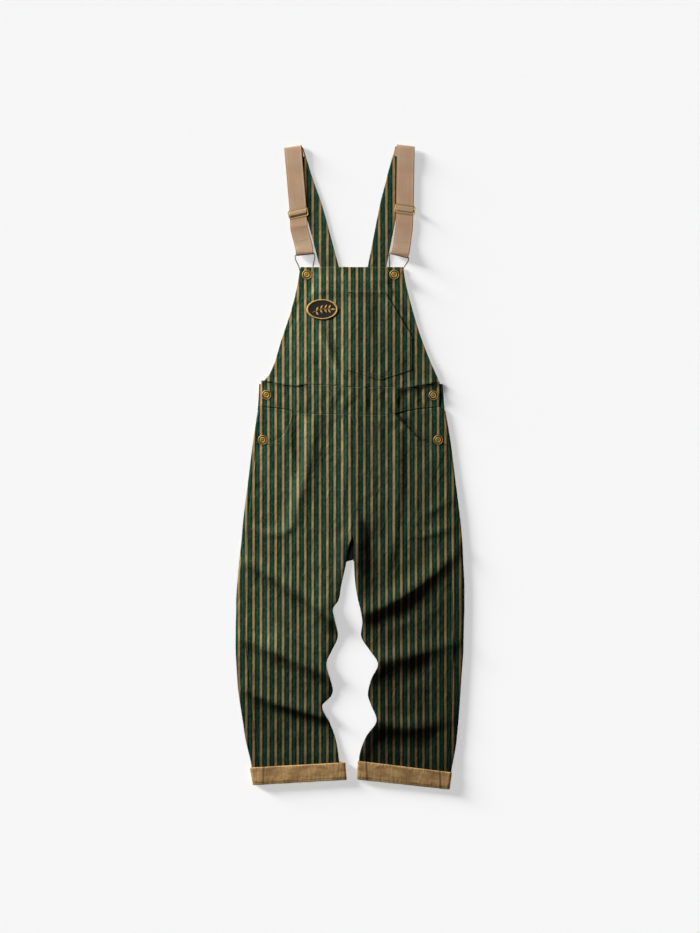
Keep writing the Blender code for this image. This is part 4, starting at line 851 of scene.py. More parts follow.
def dressed(solid, top, thickness, rests_on, panel=None, colour=1.0, loose_edge=True):
    """One cut piece of twill in place of its solid, with worn edges, the painted shade, highlights
    and sheen of its panel, and painted shadows round the buttons.
    """
    x, y = top[..., 0], top[..., 1]
    rub = edge_rub(top) if panel and loose_edge else 0.0
    if panel:
        rub, colour = rub + worn(panel, x, y), colour * tone(panel, x, y) * button_marks(x, y)
    piece = shell(solid, "cloth", "twill", top, top - (0.0, 0.0, thickness), top[..., :2],
                  [STRIPED, REVERSE], rub, colour)
    declare_sheet(top[..., :2], rests_on)


def run_across(x, z):
    """Length along each row of a bent sheet."""
    steps = np.hypot(np.diff(x, axis=1), np.diff(z, axis=1))
    return np.hstack([np.zeros((len(x), 1)), np.cumsum(steps, axis=1)])


# ---- sewing ----
STITCH_PITCH, STITCH_LENGTH, STITCH_STRAY, STITCH_SINK = 3.6, 2.7, 0.05, 0.10
THREAD_RADIUS, STITCH_SIDES = 0.24, 6
STITCH_PROFILE = ((0.0, 0.25), (0.14, 0.85), (0.5, 1.0), (0.86, 0.85), (1.0, 0.25))
UP = (0.0, 0.0, 1.0)


def path_of(x, y):
    """Path of points from its two coordinates."""
    return np.column_stack(np.broadcast_arrays(x, y))


def level_at(height):
    return lambda x, y: np.full(np.shape(x), height)


def directions(angle):
    """Along an angle, and to the left of it."""
    return np.array([cos(angle), sin(angle)]), np.array([-sin(angle), cos(angle)])


def stitches(path, height, pitch=STITCH_PITCH, length=STITCH_LENGTH, sink=STITCH_SINK):
    """Start and end of each stitch along a path on a surface."""
    path = np.asarray(path, float)
    lengths = np.concatenate([[0.0], np.cumsum(np.hypot(*np.diff(path, axis=0).T))])
    count = max(1, int(lengths[-1] / pitch))
    at = (np.arange(count) + 0.5) * lengths[-1] / count
    centres = np.column_stack([np.interp(at, lengths, part) for part in path.T])
    ahead = unit(np.gradient(centres, axis=0) if count > 1 else path[-1:] - path[:1])
    half = 0.5 * length * min(1.0, lengths[-1] / count / pitch)
    ends = []
    for way in (-1.0, 1.0):
        place = centres + ahead * half * way + rng.normal(0.0, STITCH_STRAY, centres.shape)
        ends.append(np.column_stack([place, height(place[:, 0], place[:, 1]) - sink]))
    return np.stack(ends, axis=1)


def sewn(name, runs, material=SEWING, radius=THREAD_RADIUS, arch=0.25):
    """One piece with a small round stitch between each pair of points."""
    start, end = np.concatenate(runs).transpose(1, 0, 2)
    along_stitch = end - start
    side = unit(np.cross(along_stitch, UP))
    up = unit(np.cross(side, along_stitch))
    rings = []
    for t, fat in STITCH_PROFILE:
        centre = start + along_stitch * t + up * (arch * (1 - (2 * t - 1) ** 2))
        for angle in 2 * pi * np.arange(STITCH_SIDES) / STITCH_SIDES:
            rings.append(centre + (side * cos(angle) + up * sin(angle)) * radius * fat)
    each = len(rings)
    index = np.arange(each).reshape(len(STITCH_PROFILE), STITCH_SIDES)
    offsets = np.arange(len(start))[:, None, None] * each
    faces = list((ring_quads(index)[None] + offsets).reshape(-1, 4))
    for cap in (index[0], index[-1][::-1]):
        faces += list((cap[None] + offsets[:, 0]).reshape(-1, STITCH_SIDES))
    add_piece(name, np.stack(rings, axis=1).reshape(-1, 3), faces, [material])


def offset_path(path, distance):
    """Path moved sideways; positive is to the left of its direction."""
    ahead = unit(np.gradient(path, axis=0))
    return path + path_of(-ahead[:, 1], ahead[:, 0]) * distance


def bar_tack(centre, angle, height, length=11.0, width=2.6, pitch=0.55):
    """Close zigzag that holds the end of a seam."""
    at = np.linspace(-length / 2, length / 2, int(length / pitch))
    way, across = directions(angle)
    ends = []
    for sign in (-1, 1):
        place = np.asarray(centre) + at[:, None] * way + across * (sign * width / 2)
        place = place + sign * way * pitch * 0.25
        ends.append(np.column_stack([place, height(place[:, 0], place[:, 1]) + 0.05]))
    return np.stack(ends, axis=1)


# ---- legs ----
def outline(side, y):
    """Outer and inner edge of a leg."""
    return edges(LEG_ROWS, y, side + "_out", side + "_in")


def outseam(side, y):
    return lookup(OUTSEAM_ROWS, "y", side, y)


def hem_height(side):
    return (CUFFS[side].bottom_out[1] + CUFFS[side].bottom_in[1]) / 2 + HEM_INSET


def hem_shift(side, x, y):
    """How far a row moves near the hem, to follow the slope of the cuff."""
    (out_x, out_y), (in_x, in_y) = CUFFS[side].bottom_out, CUFFS[side].bottom_in
    slope = (out_y - in_y) / (out_x - in_x)
    return slope * (x - (out_x + in_x) / 2) * smooth(*ROWS_MEET_HEM, y)


def band_shift(x, y):
    """How far a row moves near the top, to follow the waistband."""
    return (band_low(x) - BAND_SEAM_GAP - FRONT_TOP) * smooth(*ROWS_MEET_BAND, y)


SETTLING_TURNS = 8


def settle(side, x, y):
    """Real height of a point of a row, once the row follows the cuff and the band."""
    return y + hem_shift(side, x, y) + band_shift(x, y)


def unsettle(side, x, y):
    """Row height that settles at a real height."""
    guess = np.asarray(y, float)
    for _ in range(SETTLING_TURNS):
        guess = y - hem_shift(side, x, guess) - band_shift(x, guess)
    return guess


def lift(y):
    return CUFF_LIFT * smooth(*HEM_CLIMBS, y)


def roll_radius(y):
    return mix(LEG_ROLL, HIP_ROLL, smooth(*ROLL_NARROWS, y))


def scoop_edge(side, y):
    """Outer edge of the front leg: the outseam, then the pocket's scoop."""
    y, first = np.asarray(y, float), SCOOP_ROWS[-1]
    part = np.clip((y - SCOOP_BOTTOM) / (first.y - SCOOP_BOTTOM), 0.0, 1.0)
    run = mix(outseam(side, np.minimum(y, SCOOP_BOTTOM)), getattr(first, side), part)
    return np.where(y > first.y, lookup(SCOOP_ROWS, "y", side, np.maximum(y, first.y)), run)


def front_height(side, x, y):
    """Top of the front leg, and of the back leg's strip beside the outseam."""
    outer, inner = outline(side, y)
    middle = mix(THIGH_LEVEL, HIP_LEVEL, smooth(*HIP_BEGINS, y))
    from_outer, from_inner = np.abs(x - outer), np.abs(x - inner)
    height = mix(2 * roll_radius(y), middle, smooth(*SIDE_SETTLES, from_outer))
    fall = (middle - INSEAM_LEVEL) * (1.0 - edge_round(from_inner, INSEAM_ROUND))
    seam_dip = SEAM_DIP * (1.0 - smooth(0.0, SEAM_DIP_WIDTH, from_inner))
    height = height - mix(seam_dip, fall, smooth(*FORK_OPENS, y))
    share = smooth(*FOLDS_ABOVE_HEM, y) * smooth(*FOLDS_BELOW_BAND, y)
    share = share * smooth(*SIDE_FOLDS, from_outer)
    return height + share * fold_rise(side, x, y) + lift(y)


def edge_round(distance, width):
    """0 at an edge to 1 a width away, along a quarter ellipse."""
    part = np.clip(distance / width, 0.0, 1.0)
    return np.sqrt(1.0 - (1.0 - part) ** 2)


SEAM_RIDGE, ALLOWANCE = 0.35, 9.0       # the pressed allowance under the cloth beside a seam
SEAM_GROOVE, GROOVE_WIDTH = 0.55, 1.1
CALM_OUTSIDE, CALM_INSIDE, LEG_GATHERS = (0.0, 22.0), (0.0, 18.0), (55.0, 112.0)


def under_layer(rise, width, from_edge, before=0.8, past=1.2):
    """Rise over a layer sewn under the cloth, which ends a width away from the edge."""
    return rise * (1.0 - smooth(width - before, width + past, from_edge))


def seam_ridge(from_seam):
    """Slight step over the seam allowance, and the dip at the seam itself."""
    away = np.abs(from_seam)
    ridge = under_layer(SEAM_RIDGE, ALLOWANCE, away, before=1.5, past=2.5)
    return ridge - SEAM_GROOVE * hump(away, GROOVE_WIDTH)


def leg_surface(side, x, y):
    """Front leg with its seams and puckers; y is the height before it follows hem and band."""
    from_seam, from_centre = x - outseam(side, y), x - CENTRE_X
    outer, inner = outline(side, y)
    at_mouth, joined = smooth(*SCOOP_ENDS, y), 1.0 - smooth(*FORK_OPENS, y)
    z = front_height(side, x, y) + (1.0 - at_mouth) * (seam_ridge(from_seam) + pucker(y, from_seam))
    z = z + joined * (seam_ridge(from_centre) + pucker(y + 40.0, from_centre, rise=0.3))
    z = z + (1.0 - joined) * pucker(y + 13.0, x - inner, rise=0.25)
    z = z + at_mouth * pucker(y * 1.4, x - scoop_edge(side, y), rise=0.18)
    calm = smooth(*CALM_OUTSIDE, np.abs(x - outer)) * smooth(*CALM_INSIDE, np.abs(x - inner))
    z = z + calm * smooth(*FOLDS_ABOVE_HEM, y) * slack(x, y, rise=0.65)
    z = z + smooth(*LEG_GATHERS, y) * gathers(x, y, rise=0.55)
    return z + pucker(x + 21.0, FRONT_TOP - y, rise=0.35, reach=8.0)


RIGHT_HALF_SHADE, SHADE_STEP = 0.74, (2.0, 9.0)       # painted shade: the right half is darker, where less light falls on it
# Painted light and shade down the legs.
THIGH_TO_KNEE, KNEE_LIGHT, HEM_SHADE = (-120.0, -240.0), 1.12, 0.78
KNEE_TO_HEM = (-360.0, -500.0)
RIGHT_THIGH_DARKENS, RIGHT_SHIN = (-170.0, -300.0), 0.60
RIGHT_SHIN_DARKENS, RIGHT_HEM = (-440.0, -520.0), 0.52
ABOVE_CUFF, ABOVE_CUFF_SHADE = (-572.0, -596.0), 0.16
# The bib and its pocket are made a little lighter all over.
BIB_BRIGHTNESS = 1.06
# Painted shadow round each button: how far it is set down and to the right, how dark it is, and
# where it fades out.
BUTTON_SHADOW_OFFSET, BUTTON_SHADOW_SHADE, BUTTON_SHADOW_REACH = EdgePoint(1.2, -1.4), 0.55, (3.5, -0.5)


# Painted shade over the right half.
def fade(x):
    return mix(1.0, RIGHT_HALF_SHADE, smooth(*SHADE_STEP, x))


def leg_fade(side, y):
    """Painted light and shade down a leg: the left is lighter at the knee and darker towards the
    hem, the right darker all over, more so towards the hem and just above its cuff.
    """
    if side == "right":
        thigh = mix(RIGHT_HALF_SHADE, RIGHT_SHIN, smooth(*RIGHT_THIGH_DARKENS, y))
        shin = mix(thigh, RIGHT_HEM, smooth(*RIGHT_SHIN_DARKENS, y))
        return shin * (1.0 - ABOVE_CUFF_SHADE * smooth(*ABOVE_CUFF, y))
    return mix(mix(1.0, KNEE_LIGHT, smooth(*THIGH_TO_KNEE, y)), HEM_SHADE, smooth(*KNEE_TO_HEM, y))


def button_marks(x, y):
    """Painted shadow on the cloth close round each button, most of all below it."""
    colour = np.ones(np.broadcast(x, y).shape)
    near, far = (BUTTON_RADIUS + reach for reach in BUTTON_SHADOW_REACH)
    on_bib = [strap.button for strap in STRAPS.values()]
    for button_x, button_y in [*SIDE_BUTTONS.values(), *on_bib]:
        away = np.hypot(x - button_x - BUTTON_SHADOW_OFFSET.x, y - button_y - BUTTON_SHADOW_OFFSET.y)
        colour = colour * (1.0 - BUTTON_SHADOW_SHADE * smooth(near, far, away))
    return colour


LEG_STEP, ROLL_STEPS = 3.5, 14
SCOOP_LEVELS = (44.0, 44.7, 45.5, 46.4, 47.4, 48.3, 49.4, 50.6, 52.0, 53.6, 55.4, 57.4, 60.0, 63.0,
                66.0)
ABOVE_SCOOP, TOP_ROWS = (69.0, FRONT_TOP - 2.4, 14), (1.2, 0.5, 0.0)
BACK_ROWS, BACK_TOP_LEVELS = 150, (50.0, 56.0, 68.0, 84.0, 100.0, 110.0)
LEG_ACROSS = spread(215.0, LEG_STEP)
BACK_ACROSS = np.concatenate([[0.0, 0.006, 0.02], np.linspace(0.06, 1.0, 22)[:-1]])
STRIP_ACROSS = (1.0 - spread(14.0, 2.6, (0.0, 0.6, 1.4))[::-1])[1:]


def front_leg(side):
    out, low = OUTWARD[side], hem_height(side)
    heights = np.concatenate([
        [low, low + 0.7, low + 1.6],
        np.linspace(low + 3.0, SCOOP_BOTTOM - LEG_STEP, int((SCOOP_BOTTOM - low) / LEG_STEP)),
        SCOOP_LEVELS, np.linspace(*ABOVE_SCOOP), FRONT_TOP - np.array(TOP_ROWS)])[:, None]
    centre = CENTRE_X + out * SEAM_GAP / 2
    inner = out * np.maximum(out * outline(side, heights)[1], out * centre)
    outer = scoop_edge(side, heights) - out * SEAM_GAP / 2 * (heights <= SCOOP_BOTTOM)
    x = mix(outer, inner, LEG_ACROSS)
    y = settle(side, x, heights)
    top = grid(x, y, leg_surface(side, x, np.broadcast_to(heights, x.shape)))
    dressed("front_leg_" + side, top, CLOTH, ["back_leg_" + side], side, leg_fade(side, y))


def back_leg(side):
    """Back leg: flat on the ground, rolled round the side fold up to the outseam."""
    out, low = OUTWARD[side], hem_height(side)
    heights = np.concatenate([
        [low, low + 0.8], np.linspace(low + 2.5, SCOOP_BOTTOM, BACK_ROWS), BACK_TOP_LEVELS,
        [BACK_BAND_BOTTOM - 1.0, BACK_BAND_BOTTOM - SEAM_GAP]])[:, None]
    outer, inner = outline(side, heights)
    inner = np.where(heights > BACK_FORK, CENTRE_X + out * SEAM_GAP / 2, inner + out * BACK_INSET)
    radius, ground = roll_radius(heights), lift(heights)
    turn = outer - out * radius
    seam = outseam(side, heights) + out * SEAM_GAP / 2
    flat_x, strip_x = mix(inner, turn, BACK_ACROSS), mix(turn, seam, STRIP_ACROSS)
    strip_z = front_height(side, strip_x, heights) + seam_ridge(strip_x - seam)
    strip_z = strip_z + pucker(heights, strip_x - seam)
    angles = turning(ROLL_STEPS)
    sides = []
    for wall in (0.0, CLOTH):
        reach = radius - wall
        x = np.hstack([flat_x, turn + out * reach * np.cos(angles), strip_x])
        z = np.hstack([np.broadcast_to(ground + wall, flat_x.shape),
                       ground + radius + reach * np.sin(angles), strip_z - wall])
        sides.append(grid(x, heights + hem_shift(side, x, heights), z))
    skin, inside = sides
    length = run_across(skin[..., 0], skin[..., 2])
    cloth = np.stack([seam + out * (length[:, -1:] - length), skin[..., 1]], -1)
    piece = shell("back_leg_" + side, "cloth", "twill", skin, inside, cloth, [STRIPED, INSIDE],
                  depth=leg_fade(side, skin[..., 1]))
    declare_sheet(cloth, [])


FACING_RAMP, FACING_SHADE, FACING_PALES, MOUTH_EDGE = 20.0, 0.80, (0.0, 26.0), (8.0, 1.5)
# The lower rows of the facing climb away from the seam, fewer and fewer rows up.
CLIMB_ENDS, CLIMB_LEVELS, CLIMB_SLOPE, CLIMB_ROWS = 26.0, 19.0, 0.25, 4.0
MOUTH_SHADE = {"left": 0.25, "right": 0.80}


def facing_height(side, x, y):
    from_seam = np.abs(x - outseam(side, y))
    return mix(2 * roll_radius(y), BAND + SEAM_GAP + CLOTH, smooth(0.0, FACING_RAMP, from_seam))


def facing_depth(side, x, y):
    """Painted shade on the facing: a little darker inside the pocket mouth, darkest in a line close
    to its edge, and darker on the right half.
    """
    inside = np.abs(x - scoop_edge(side, y))
    colour = FACING_SHADE + (1.0 - FACING_SHADE) * smooth(*FACING_PALES, inside)
    colour = colour * (RIGHT_HALF_SHADE if side == "right" else 1.0)
    return colour * (1.0 - MOUTH_SHADE[side] * smooth(*MOUTH_EDGE, inside))


def facing(side):
    """Pocket facing, from the side seam to under the front leg's scooped edge."""
    out = OUTWARD[side]
    heights = np.concatenate([[SCOOP_BOTTOM + 1.0, 46.0, 48.0],
                              np.linspace(51.0, FRONT_TOP - 0.6, 26)])[:, None]
    mouth = lookup(SCOOP_ROWS, "y", side, np.maximum(heights, SCOOP_ROWS[-1].y))
    settled = heights + band_shift(outseam(side, heights), heights)
    outer = outseam(side, settled) - out * SEAM_GAP / 2
    x = mix(outer, mouth - out * POCKET_LAP, spread(80.0, 3.5))
    ease = np.maximum(0.0, 1.0 - np.arange(len(heights)) / CLIMB_ROWS)[:, None]
    away = np.abs(x - outer)
    climb = CLIMB_SLOPE * np.minimum(away, CLIMB_LEVELS) * (away < CLIMB_ENDS)
    y = heights + (band_shift(x, heights) + climb * ease)
    z = facing_height(side, x, heights) + pucker(y, x - outseam(side, y), rise=0.2)
    dressed("pocket_facing_" + side, grid(x, y, z), CLOTH, ["back_leg_" + side], side,
            facing_depth(side, x, y), loose_edge=False)


CUFF_INNER_RADIUS, CUFF_SETTLES = 3.2, (0.0, 0.35)
# Seams and short puckers that cross each cuff, with painted shade in them: place and strength.
CUFF_SEAMS = {"left": ((-180.0, 1.0), (-32.0, 0.35), (-22.5, 0.5), (-15.0, 0.35)),
              "right": ((34.5, 0.9), (188.6, 1.0))}
CUFF_SLANT, CUFF_SEAM_WIDTH = 2.0, 3.2      # a seam leans outward down the cuff
CUFF_TONE = {"left": 1.10, "right": 0.98}
CUFF_DEPTH, CUFF_STITCH = 36.0, 0.89        # and how far down it the line of sewing runs
CUFF_ROLL_STEPS, CUFF_FLAT_STEPS, CUFF_UNDER_STEPS = 12, 120, 12
# Painted highlight along the turned edge, and painted shade towards the fold and at it: where each
# begins and ends, as parts of the way down the cuff.
CUFF_PALE_EDGE, CUFF_DARKENS, CUFF_FOLD = (0.16, 0.0), (0.72, 0.95), (0.95, 1.0)
CUFF_DOWN = np.concatenate([[0.0, 0.02, 0.05], np.linspace(0.1, 0.8, 8),
                            [0.83, 0.86, 0.89, 0.92, 0.95, 0.98, 1.0]])[:, None]


def from_cuff_seam(side, seam, x, t):
    return x - seam - OUTWARD[side] * CUFF_SLANT * t


def cuff_colour(side, x, t):
    """Painted highlight along the turned edge, painted shade towards and at the fold, in the seams,
    along the line of sewing and in the puckers, and a tone for each side.
    """
    colour = 1.0 + 0.28 * smooth(*CUFF_PALE_EDGE, t) - 0.10 * smooth(*CUFF_DARKENS, t)
    colour = colour - 0.12 * smooth(*CUFF_FOLD, t) - 0.30 * hump(t - CUFF_STITCH, 0.035)
    colour = colour * CUFF_TONE[side]
    for seam, strength in CUFF_SEAMS[side]:
        colour = colour * (1.0 - 0.72 * strength * hump(from_cuff_seam(side, seam, x, t), 2.1))
    return colour


def cuff_wave(side, x, t):
    """Seams, the line of sewing and puckers of a cuff, t of the way down it."""
    wave = -0.35 * hump(t - CUFF_STITCH, 0.03)
    for seam, strength in CUFF_SEAMS[side]:
        away = from_cuff_seam(side, seam, x, t) / CUFF_SEAM_WIDTH
        wave = wave + strength * (0.25 * hump(away - 1.0, 1.0) - 0.75 * hump(away * 2.2, 1.0))
    wave = wave + 0.35 * np.sin(x / 17.0 + 2.0 * t) * (1.0 - t)
    wave = wave + 0.25 * np.sin(x / 9.0 + 1.0 + 3.0 * t)
    wave = wave + pucker(x * 1.3, t * CUFF_DEPTH, rise=0.7, reach=5.0)
    return wave + pucker(x, (1.0 - t) * CUFF_DEPTH - 6.0, rise=0.5, reach=6.0)


def cuff(side):
    """Turned-up cuff: a flattened ring round the hem, its reverse side out."""
    out, corners, t = OUTWARD[side], CUFFS[side], CUFF_DOWN
    out_x, out_y = (mix(a, b, t) for a, b in zip(corners.top_out, corners.bottom_out))
    in_x, in_y = (mix(a, b, t) for a, b in zip(corners.top_in, corners.bottom_in))
    radius, centre_z = LEG_ROLL + SEAM_GAP, CUFF_LIFT + LEG_ROLL
    settled = 2 * LEG_ROLL - THIGH_LEVEL
    turn = out_x - out * (radius + CUFF_WALL)
    inner_turn = in_x + out * (CUFF_INNER_RADIUS + CUFF_WALL)
    across = np.arange(1, CUFF_FLAT_STEPS) / CUFF_FLAT_STEPS
    flat_x = mix(turn, inner_turn, across)
    flat_z = centre_z + radius - settled * smooth(*CUFF_SETTLES, across)
    flat_z, angles = flat_z + cuff_wave(side, flat_x, t), turning(CUFF_ROLL_STEPS)
    under_x = mix(inner_turn, turn, np.linspace(0.0, 1.0, CUFF_UNDER_STEPS)[1:-1])
    sides = []
    for grow in (CUFF_WALL, 0.0):
        low, high = CUFF_LIFT - SEAM_GAP - grow, centre_z + radius - settled + grow
        inner_x = inner_turn - out * (CUFF_INNER_RADIUS + grow) * np.cos(angles[::-1])
        inner_z = (high + low) / 2 + (high - low) / 2 * np.sin(angles[::-1])
        x = np.hstack([turn + out * (radius + grow) * np.cos(angles), flat_x, inner_x, under_x])
        z = np.hstack([np.broadcast_to(row, (len(t), np.shape(row)[-1])) for row in (
            centre_z + (radius + grow) * np.sin(angles), flat_z + grow, inner_z,
            np.full(under_x.shape, low))])
        sides.append(grid(x, in_y + (out_y - in_y) / (out_x - in_x) * (x - in_x), z))
    top = sides[0]
    loop = np.concatenate([top, top[:, :1]], axis=1)
    run = run_across(loop[..., 0], loop[..., 2])
    cloth = np.stack(np.broadcast_arrays(run[:, :-1], -t * CUFF_DEPTH), -1)
    piece = shell("cuff_" + side, "cloth", "twill_reverse", *sides, cloth, [REVERSE],
                  edge_rub(top, ring=True), cuff_colour(side, top[..., 0], t), ring=True)
    declare_sheet(cloth, ["front_leg_" + side, "back_leg_" + side], float(run[-1, -1]))


# ---- waistbands ----
GATHERS_BEGIN, GATHERS_END = (-60.0, -20.0), (110.0, 150.0)
QUILT_RISE, QUILT_INSET = 0.35, 2.0     # the band is full between its two lines of sewing


def band_height(x, y):
    low, high = band_low(x), band_high(x)
    gathered = 0.35 + 0.5 * smooth(*GATHERS_BEGIN, x) * (1.0 - smooth(*GATHERS_END, x))
    z = BAND_LEVEL + fold_rise("band", x, y)
    z = z + pucker(x, y - low, gathered, reach=9.0)
    z = z + pucker(x + 47.0, high - y, gathered * 1.3, reach=10.0)
    between = (y - low - QUILT_INSET) / (high - low - 2 * QUILT_INSET)
    quilt = np.sin(pi * np.clip(between, 0.0, 1.0))
    return z + (QUILT_RISE + gathers(x, y, rise=0.9)) * quilt - QUILT_RISE


def front_band():
    x = mix(*BAND_ENDS, spread(BAND_ENDS[1] - BAND_ENDS[0], 3.2))
    up = spread(52.0, 3.2, (0.0, 0.5, 1.2, 2.2))[:, None]
    x = np.broadcast_to(x, (len(up), len(x)))
    y = mix(band_low(x), band_high(x) - SEAM_GAP, up)
    dressed("waistband_front", grid(x, y, band_height(x, y)), BAND,
            ["waistband_back", "pocket_facing_left", "pocket_facing_right"], "band", fade(x))


def flat_panel(solid, rows, thickness, apart=9.0):
    """Panel flat on the ground between the edges of its rows."""
    ys = np.array([row.y for row in rows])
    y = mix(ys.min(), ys.max(), spread(np.ptp(ys), apart))[:, None]
    x = mix(*edges(rows, y), spread(300.0, apart))
    dressed(solid, grid(x, y, thickness), thickness, [])


# ---- bib, pocket and patch ----
# Height of the bib's underside over the back bib, over the straps and at its corners.
BIB_REST, BIB_ON_STRAPS, BIB_CORNER = 2.4, 4.5, 1.0
STRAPS_BEGIN, STRAPS_END = (352.0, 367.0), (404.0, 388.0)
CORNERS_SETTLE, BEYOND_BACK = (262.0, 186.0), (0.0, 10.0)
BIB_FOLDS_TOP, BIB_FOLDS_BOTTOM = (BIB_TOP, 396.0), (166.0, 186.0)
PATCH_FLAT, PATCH_CALM, PATCH_FLAT_HALF = (0.9, 1.3), (0.9, 1.4), (44.0, 32.0)
BIB_HEM, SIDE_HEM, HEM_RISE = 31.0, 8.0, 0.35
BIB_CALM_SIDE, BIB_GATHERS = (0.0, 12.0), (235.0, 180.0)
# The bib stands proud where it laps the waistband's seam, most of all at both sides.
LAP_LEFT_BEGINS, LAP_RIGHT_BEGINS, LAP_RIGHT_ENDS = (-80.0, -100.0), (110.0, 128.0), (188.0, 166.0)
LAP_REACH = (3.0, 11.0)
MOUTH_BAND, POCKET_HEM = 17.0, 10.0     # widths of the slanted mouth's band and the top hem
GAPE_RISE, GAPE_MIDDLE, GAPE_REACH, POCKET_LIFT = 1.5, 322.0, 26.0, 0.15
BIB_MOUTH_SHADE, SHADE_BEGINS, SHADE_ENDS = 0.60, (76.0, 84.0), (136.0, 130.0)


def from_patch(x, y):
    half_x, half_y = PATCH_FLAT_HALF
    return np.hypot((x - PATCH_CENTRE.x) / half_x, (y - PATCH_CENTRE.y) / half_y)


def bib_plain(x, y):
    """Top of the bib: carried by the back bib and the straps, low at its corners."""
    left, right = edges(BACK_BIB_ROWS, y)
    beyond = np.maximum(left - x, x - right)
    carried = mix(BIB_REST, BIB_ON_STRAPS, smooth(*STRAPS_BEGIN, y) * smooth(*STRAPS_END, y))
    free = mix(BIB_CORNER, BIB_REST, smooth(*CORNERS_SETTLE, y))
    share = smooth(*BIB_FOLDS_TOP, y) * smooth(*BIB_FOLDS_BOTTOM, y)
    share = share * smooth(*PATCH_FLAT, from_patch(x, y))
    return mix(carried, free, smooth(*BEYOND_BACK, beyond)) + CLOTH + share * fold_rise("bib", x, y)


def bib_height(x, y):
    """The bib with its hems and puckers."""
    left, right = edges(BIB_ROWS, y)
    side, down, up = np.minimum(x - left, right - x), BIB_TOP - y, y - band_high(x)
    z = bib_plain(x, y) + np.maximum(under_layer(HEM_RISE, SIDE_HEM, side),
                                     under_layer(HEM_RISE, BIB_HEM, down))
    z = z + pucker(y, side - SIDE_HEM, rise=0.2, reach=5.0)
    z = z + pucker(x, down - BIB_HEM, rise=0.22, reach=5.0)
    calm = smooth(*BIB_CALM_SIDE, side) * smooth(*PATCH_CALM, from_patch(x, y))
    z = z + slack(x + 300.0, y, rise=0.35) * calm
    right_lap = smooth(*LAP_RIGHT_BEGINS, x) * smooth(*LAP_RIGHT_ENDS, x)
    lap = 0.7 + 1.5 * smooth(*LAP_LEFT_BEGINS, x) + 2.2 * right_lap
    z = z + lap * (1.0 - smooth(*LAP_REACH, up))
    z = z + smooth(*BIB_GATHERS, y) * gathers(x, y, rise=0.6)
    return z + pucker(x + 9.0, up, rise=0.8, reach=9.0)


def mouth_distance(x, y):
    """Distance in from the slanted mouth of the pocket."""
    run = np.array([POCKET_RIGHT - POCKET_MOUTH_LEFT, POCKET_CORNER - POCKET_TOP])
    run = run / np.linalg.norm(run)
    return -((x - POCKET_MOUTH_LEFT) * -run[1] + (y - POCKET_TOP) * run[0])


def mouth_shade(x, y):
    """The bib is dark close beside the slanted mouth of its pocket."""
    away = mouth_distance(x, y)
    beside = smooth(-5.0, -1.0, away) * smooth(3.0, 1.0, away)
    return 1.0 - BIB_MOUTH_SHADE * beside * smooth(*SHADE_BEGINS, x) * smooth(*SHADE_ENDS, x)


def bib():
    """Front bib; its last rows come down to the waistband's upper edge."""
    heights = BIB_TOP - np.concatenate([[0.0, 0.6, 1.4, 2.6], np.linspace(5.0, 225.0, 66)])
    last, parts = heights[-1], spread(250.0, 3.0)
    down = np.array([0.3, 0.6, 0.85, 0.95, 1.0])
    rows = np.concatenate([heights, mix(last, BIB_ROWS[-1].y, down)])[:, None]
    x = mix(*edges(BIB_ROWS, rows), parts)
    tail = mix(last, band_high(x[len(heights):]), down[:, None])
    y = np.concatenate([np.broadcast_to(heights[:, None], (len(heights), len(parts))), tail])
    dressed("bib_front", grid(x, y, bib_height(x, y)), CLOTH,
            ["back_bib", "back_strap_left", "back_strap_right"], "bib",
            BIB_BRIGHTNESS * fade(x) * mouth_shade(x, y))


def pocket_bottom(x):
    """Lower edge of the pocket, down to its point."""
    point, low = POCKET_POINT
    half = np.where(x < point, point - POCKET_LEFT, POCKET_RIGHT - point)
    return mix(low, POCKET_SIDE_BOTTOM, np.minimum(1.0, np.abs(x - point) / half))


def pocket_height(x, y):
    mouth = mouth_distance(x, y)
    band = np.maximum(under_layer(0.5, MOUTH_BAND, mouth, 0.7, 0.9),
                      under_layer(0.12, POCKET_HEM, POCKET_TOP - y, 0.7, 0.9))
    gape = GAPE_RISE * hump(y - GAPE_MIDDLE, 30.0) * (1.0 - smooth(0.0, GAPE_REACH, mouth))
    sides = pucker(y, x - POCKET_LEFT, rise=0.3, reach=5.0)
    sides = sides + pucker(x * 1.1, y - pocket_bottom(x), rise=0.3, reach=5.0)
    return bib_height(x, y) + POCKET_LIFT + POCKET_CLOTH + band + gape + sides


POCKET_TURNS = 6        # rounds until its points fit both the slanted mouth and the lower edge


def pocket():
    up, across = spread(186.0, 3.0)[:, None], spread(130.0, 3.0)
    x = np.broadcast_to(mix(POCKET_LEFT, POCKET_RIGHT, across), (len(up), len(across)))
    for _ in range(POCKET_TURNS):
        y = mix(pocket_bottom(x), POCKET_TOP, up)
        part = np.clip((y - POCKET_CORNER) / (POCKET_TOP - POCKET_CORNER), 0.0, 1.0)
        x = mix(POCKET_LEFT, mix(POCKET_RIGHT, POCKET_MOUTH_LEFT, part), across)
    dressed("bib_pocket", grid(x, y, pocket_height(x, y)), POCKET_CLOTH, ["bib_front"], "bib",
            BIB_BRIGHTNESS * fade(x))


